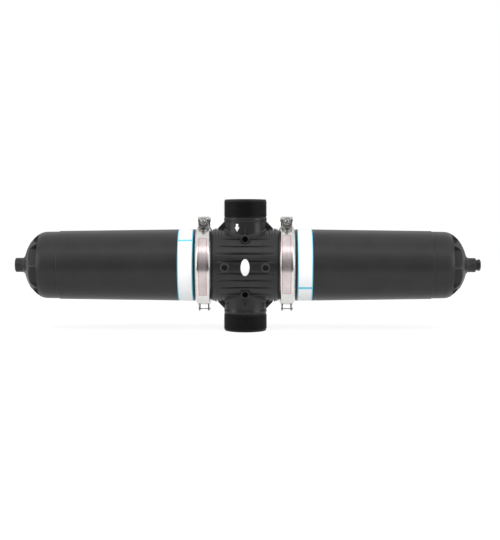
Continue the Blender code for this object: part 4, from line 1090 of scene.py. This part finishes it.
to_bolt_line = Matrix.Translation((0, 0, BOLT_Z))
to_pivot = Matrix.Translation((0, PIVOT_Y, BOLT_Z))
bracket = [placed(foot_plate(LUG_U + LUG_T, BAND_TOP + radians(0.4), BAND_TOP + radians(15)), to_rear)]
near, far = BAND_TOP + radians(0.8), BAND_TOP + radians(13)
foot_mid = FOOT_R0 + 0.001
lug_foot = [(foot_mid * sin(at), foot_mid * cos(at), 0.0003) for at in (near, far, (near + far) / 2)]
for k in (1, -1):
    lug = [lug_foot[0], (PIVOT_Y - 0.006, BOLT_Z - 0.003, 0.003),
           (PIVOT_Y - 0.0055, BOLT_Z + 0.003, 0.003), (PIVOT_Y - 0.002, BOLT_Z + 0.006, 0.002),
           (PIVOT_Y + 0.003, BOLT_Z + 0.0055, 0.003), (PIVOT_Y + 0.0065, BOLT_Z + 0.001, 0.003)]
    lug = soft_corners(lug + lug_foot[1:], 3)
    bracket.append(rounded(sheet_shape(lug, k * LUG_U, k * (LUG_U + LUG_T), "X"), 0.0004))
bracket = carved(joined(*bracket), placed(pin_hole(PIVOT_R, 32), to_pivot))

eye = turned_shell([(-EYE_HALF, PIVOT_R + 0.0007), (-EYE_HALF + 0.0004, PIVOT_R + 0.0003),
                    (EYE_HALF - 0.0004, PIVOT_R + 0.0003), (EYE_HALF, PIVOT_R + 0.0007),
                    (EYE_HALF, EYE_R - 0.0008), (EYE_HALF - 0.0003, EYE_R - 0.0002),
                    (EYE_HALF - 0.0008, EYE_R), (-EYE_HALF + 0.0008, EYE_R),
                    (-EYE_HALF + 0.0003, EYE_R - 0.0002), (-EYE_HALF, EYE_R - 0.0008)], "X", 48)
eye = placed(eye, to_pivot)
shank_r = BOLT_R - 0.00065
shank = [(BOLT_END_Y, 0.0), (BOLT_END_Y, shank_r - 0.0006), (BOLT_END_Y + 0.0006, shank_r),
         (PIVOT_Y - 0.013, shank_r), (PIVOT_Y - 0.0122, BOLT_R), (PIVOT_Y - PIVOT_R - 0.002, BOLT_R),
         (PIVOT_Y - PIVOT_R - 0.002, 0.0)]
shank = placed(turned_shell(shank, "Y", 48), to_bolt_line)
turns = (PIVOT_Y - 0.0135 - BOLT_END_Y - 0.0006) / BOLT_PITCH
bolt_thread = thread(shank_r - 0.0001, BOLT_R - 0.00005, BOLT_PITCH, turns, 40, 0.0006)
to_bolt_end = Matrix.Translation((0, BOLT_END_Y, BOLT_Z)) @ Matrix.Rotation(-pi / 2, 4, "X")
bolt = joined(eye, shank, placed(bolt_thread, to_bolt_end))

chamfer_r = NUT_AF / 2 / cos(pi / 6) + 0.0003
nut_blank = [(NUT_Y - NUT_T + 0.0007, BOLT_R + 0.0003), (NUT_Y - NUT_T, BOLT_R + 0.0010),
             (NUT_Y - NUT_T, NUT_AF / 2 - 0.0004), (NUT_Y - NUT_T + 0.0003, NUT_AF / 2 + 0.0003),
             (NUT_Y - NUT_T + 0.0007, chamfer_r - 0.0002), (NUT_Y - NUT_T + 0.0011, chamfer_r + 0.0004),
             (NUT_Y - 0.0006, chamfer_r + 0.0004), (NUT_Y - 0.0002, NUT_AF / 2 + 0.0006),
             (NUT_Y, NUT_AF / 2 - 0.0002), (NUT_Y, BOLT_R + 0.0010), (NUT_Y - 0.0007, BOLT_R + 0.0003)]
nut = hexed(turned_shell(nut_blank, "Y", 96), "Y", NUT_AF, BOLT_R + 0.0015)
nut = placed(nut, to_bolt_line)
washer = turned_shell([(WASHER_Y + 0.0002, BOLT_R + 0.0003), (WASHER_Y, BOLT_R + 0.0005),
                       (WASHER_Y, WASHER_R - 0.0004), (WASHER_Y + 0.0004, WASHER_R),
                       (WASHER_Y + WASHER_T - 0.0003, WASHER_R), (WASHER_Y + WASHER_T, WASHER_R - 0.0003),
                       (WASHER_Y + WASHER_T, BOLT_R + 0.0003)], "Y", 64)
washer = placed(washer, to_bolt_line)
pin_reach = LUG_U + LUG_T + 0.0003
pivot_pin = turned_shell([(-pin_reach - 0.0014, 0.0), (-pin_reach - 0.0014, PIVOT_R + 0.0006),
                          (-pin_reach - 0.0009, PIVOT_R + 0.0013), (-pin_reach - 0.0003, PIVOT_R + 0.0014),
                          (-pin_reach, PIVOT_R + 0.0011), (-pin_reach, PIVOT_R),
                          (pin_reach + 0.0012, PIVOT_R),
                          (pin_reach + 0.0018, PIVOT_R - 0.0006), (pin_reach + 0.0018, 0.0)], "X", 40)
hinge_reach = EAR_U + 2 * SHEET + 0.0006 + 0.0008
hinge_pin = turned_shell([(-hinge_reach, 0.0), (-hinge_reach, HINGE_PIN_R - 0.0003),
                          (-hinge_reach + 0.0003, HINGE_PIN_R), (hinge_reach - 0.0004, HINGE_PIN_R),
                          (hinge_reach - 0.0004, HINGE_PIN_R + 0.0009),
                          (hinge_reach + 0.0005, HINGE_PIN_R + 0.0008),
                          (hinge_reach + 0.0010, HINGE_PIN_R + 0.0003), (hinge_reach + 0.0010, 0.0)], "X", 32)
for side, name in SIDES:
    to_place = Matrix.Translation((side * CLAMP_X, 0, 0))
    at_pivot = Matrix.Translation((side * CLAMP_X, PIVOT_Y, BOLT_Z)) @ outward[side]
    at_hinge = Matrix.Translation((side * CLAMP_X, 0, -HINGE_R))
    dress(name + "_fork", placed(fork.copy(), to_place), latch_steel, "filter_body", [name + "_latch_fork"])
    dress(name + "_bracket", placed(bracket.copy(), to_place), latch_steel, "filter_body",
          [name + "_eye_bracket"])
    for piece, node, bm, spot, body in (("_pivot", "_pivot_pin", pivot_pin, at_pivot, "filter_body"),
                                        ("_rivet", "_hinge_pin", hinge_pin, at_hinge, "filter_body"),
                                        ("_eye_bolt", "_swing_bolt", bolt, to_place, name + "_bolt"),
                                        ("_washer", "_bolt_washer", washer, to_place, name + "_washer"),
                                        ("_hex_nut", "_bolt_nut", nut, to_place, name + "_nut")):
        dress(name + piece, placed(bm.copy(), spot), bolt_steel, body, [name + node])

# Drain plug
# A black plug with a hexagon head closes the right stub; an O-ring sits in the neck under its head
HEAD_X = STUB_END_X + 0.0033
HEAD_END_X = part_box("drain_plug")[1][0]
PLUG_AF = 0.0208
PLUG_R = 0.01035
PLUG_NECK_R = 0.0079
RING_SECTION = 0.0013
plug_corner = PLUG_AF / 2 / cos(pi / 6)
head = [(HEAD_END_X - 0.004, 0.0), (HEAD_END_X - 0.004, 0.0052), (HEAD_END_X - 0.0005, 0.0052),
        (HEAD_END_X, 0.0057), (HEAD_END_X, PLUG_AF / 2 - 0.0008), (HEAD_END_X - 0.0003, PLUG_AF / 2 - 0.0001),
        (HEAD_END_X - 0.0012, plug_corner - 0.0003), (HEAD_END_X - 0.0018, plug_corner + 0.0004),
        (HEAD_X + 0.0009, plug_corner + 0.0004), (HEAD_X + 0.0003, PLUG_AF / 2 + 0.0004),
        (HEAD_X, PLUG_AF / 2 - 0.0004), (HEAD_X, PLUG_NECK_R), (STUB_END_X - 0.0004, PLUG_NECK_R),
        (STUB_END_X - 0.0008, PLUG_R - 0.0012), (STUB_END_X - 0.013, PLUG_R - 0.0012),
        (STUB_END_X - 0.014, PLUG_R - 0.002), (STUB_END_X - 0.014, 0.0)]
head = hexed(turned_shell(head, "X", 96), "X", PLUG_AF, PLUG_AF / 2 - 0.0009)
plug_thread = thread(PLUG_R - 0.0013, PLUG_R - 0.0001, 0.0018, 6.6, 72, 0.0)
to_stub = Matrix.Translation((STUB_END_X - 0.0132, 0, 0)) @ Matrix.Rotation(pi / 2, 4, "Y")
dress("plug_moulding", joined(head, placed(plug_thread, to_stub)), body_plastic, "plug", ["drain_plug"])

rubber = grained("ring_rubber", (0.010, 0.010, 0.010), (0.016, 0.016, 0.016), 0.50, 0.68, size=600.0,
                 depth=0.15)
ring_mid, ring_r = (STUB_END_X + HEAD_X) / 2, PLUG_NECK_R + 0.0003 + RING_SECTION
ring_line = [(ring_mid + RING_SECTION * cos(pi * i / 8), ring_r + RING_SECTION * sin(pi * i / 8))
             for i in range(16)]
dress("plug_ring", turned_shell(ring_line, "X", 72), rubber, "plug_seal", ["drain_plug_seal"])

# Inside pieces
# The seals, the spines with their caps and nuts, and the red disc stacks keep their CAD form. The discs'
# fine grooves are a relief, because each disc is thinner than a millimetre
DISC_PITCH = 0.0011
core_plastic = grained("core_nylon", (0.080, 0.080, 0.083), (0.110, 0.110, 0.114), 0.40, 0.52)
disc_plastic = grained("disc_polypropylene", (0.36, 0.030, 0.022), (0.46, 0.045, 0.032), 0.38, 0.50)
tree = disc_plastic.node_tree
normal = tree.nodes["Principled BSDF"].inputs["Normal"]
edges = add_node(tree, "TexWave", {"Vector": add_node(tree, "TexCoord").outputs["Object"],
                                   "Scale": 2 * pi / (20 * DISC_PITCH)},
                 wave_type="BANDS", bands_direction="X")
relief = add_node(tree, "Bump", {"Height": edges.outputs["Fac"], "Normal": normal.links[0].from_socket,
                                 "Strength": 0.8, "Distance": 0.0004})
tree.links.new(relief.outputs["Normal"], normal)
for side in ("left", "right"):
    for node, finish in (("_cover_seal", rubber), ("_spine_seal", rubber), ("_spine", core_plastic),
                         ("_stack_cap", core_plastic), ("_stack_nut", core_plastic),
                         ("_disc_stack", disc_plastic)):
        bpy.data.objects[side + node].material_slots[0].material = finish
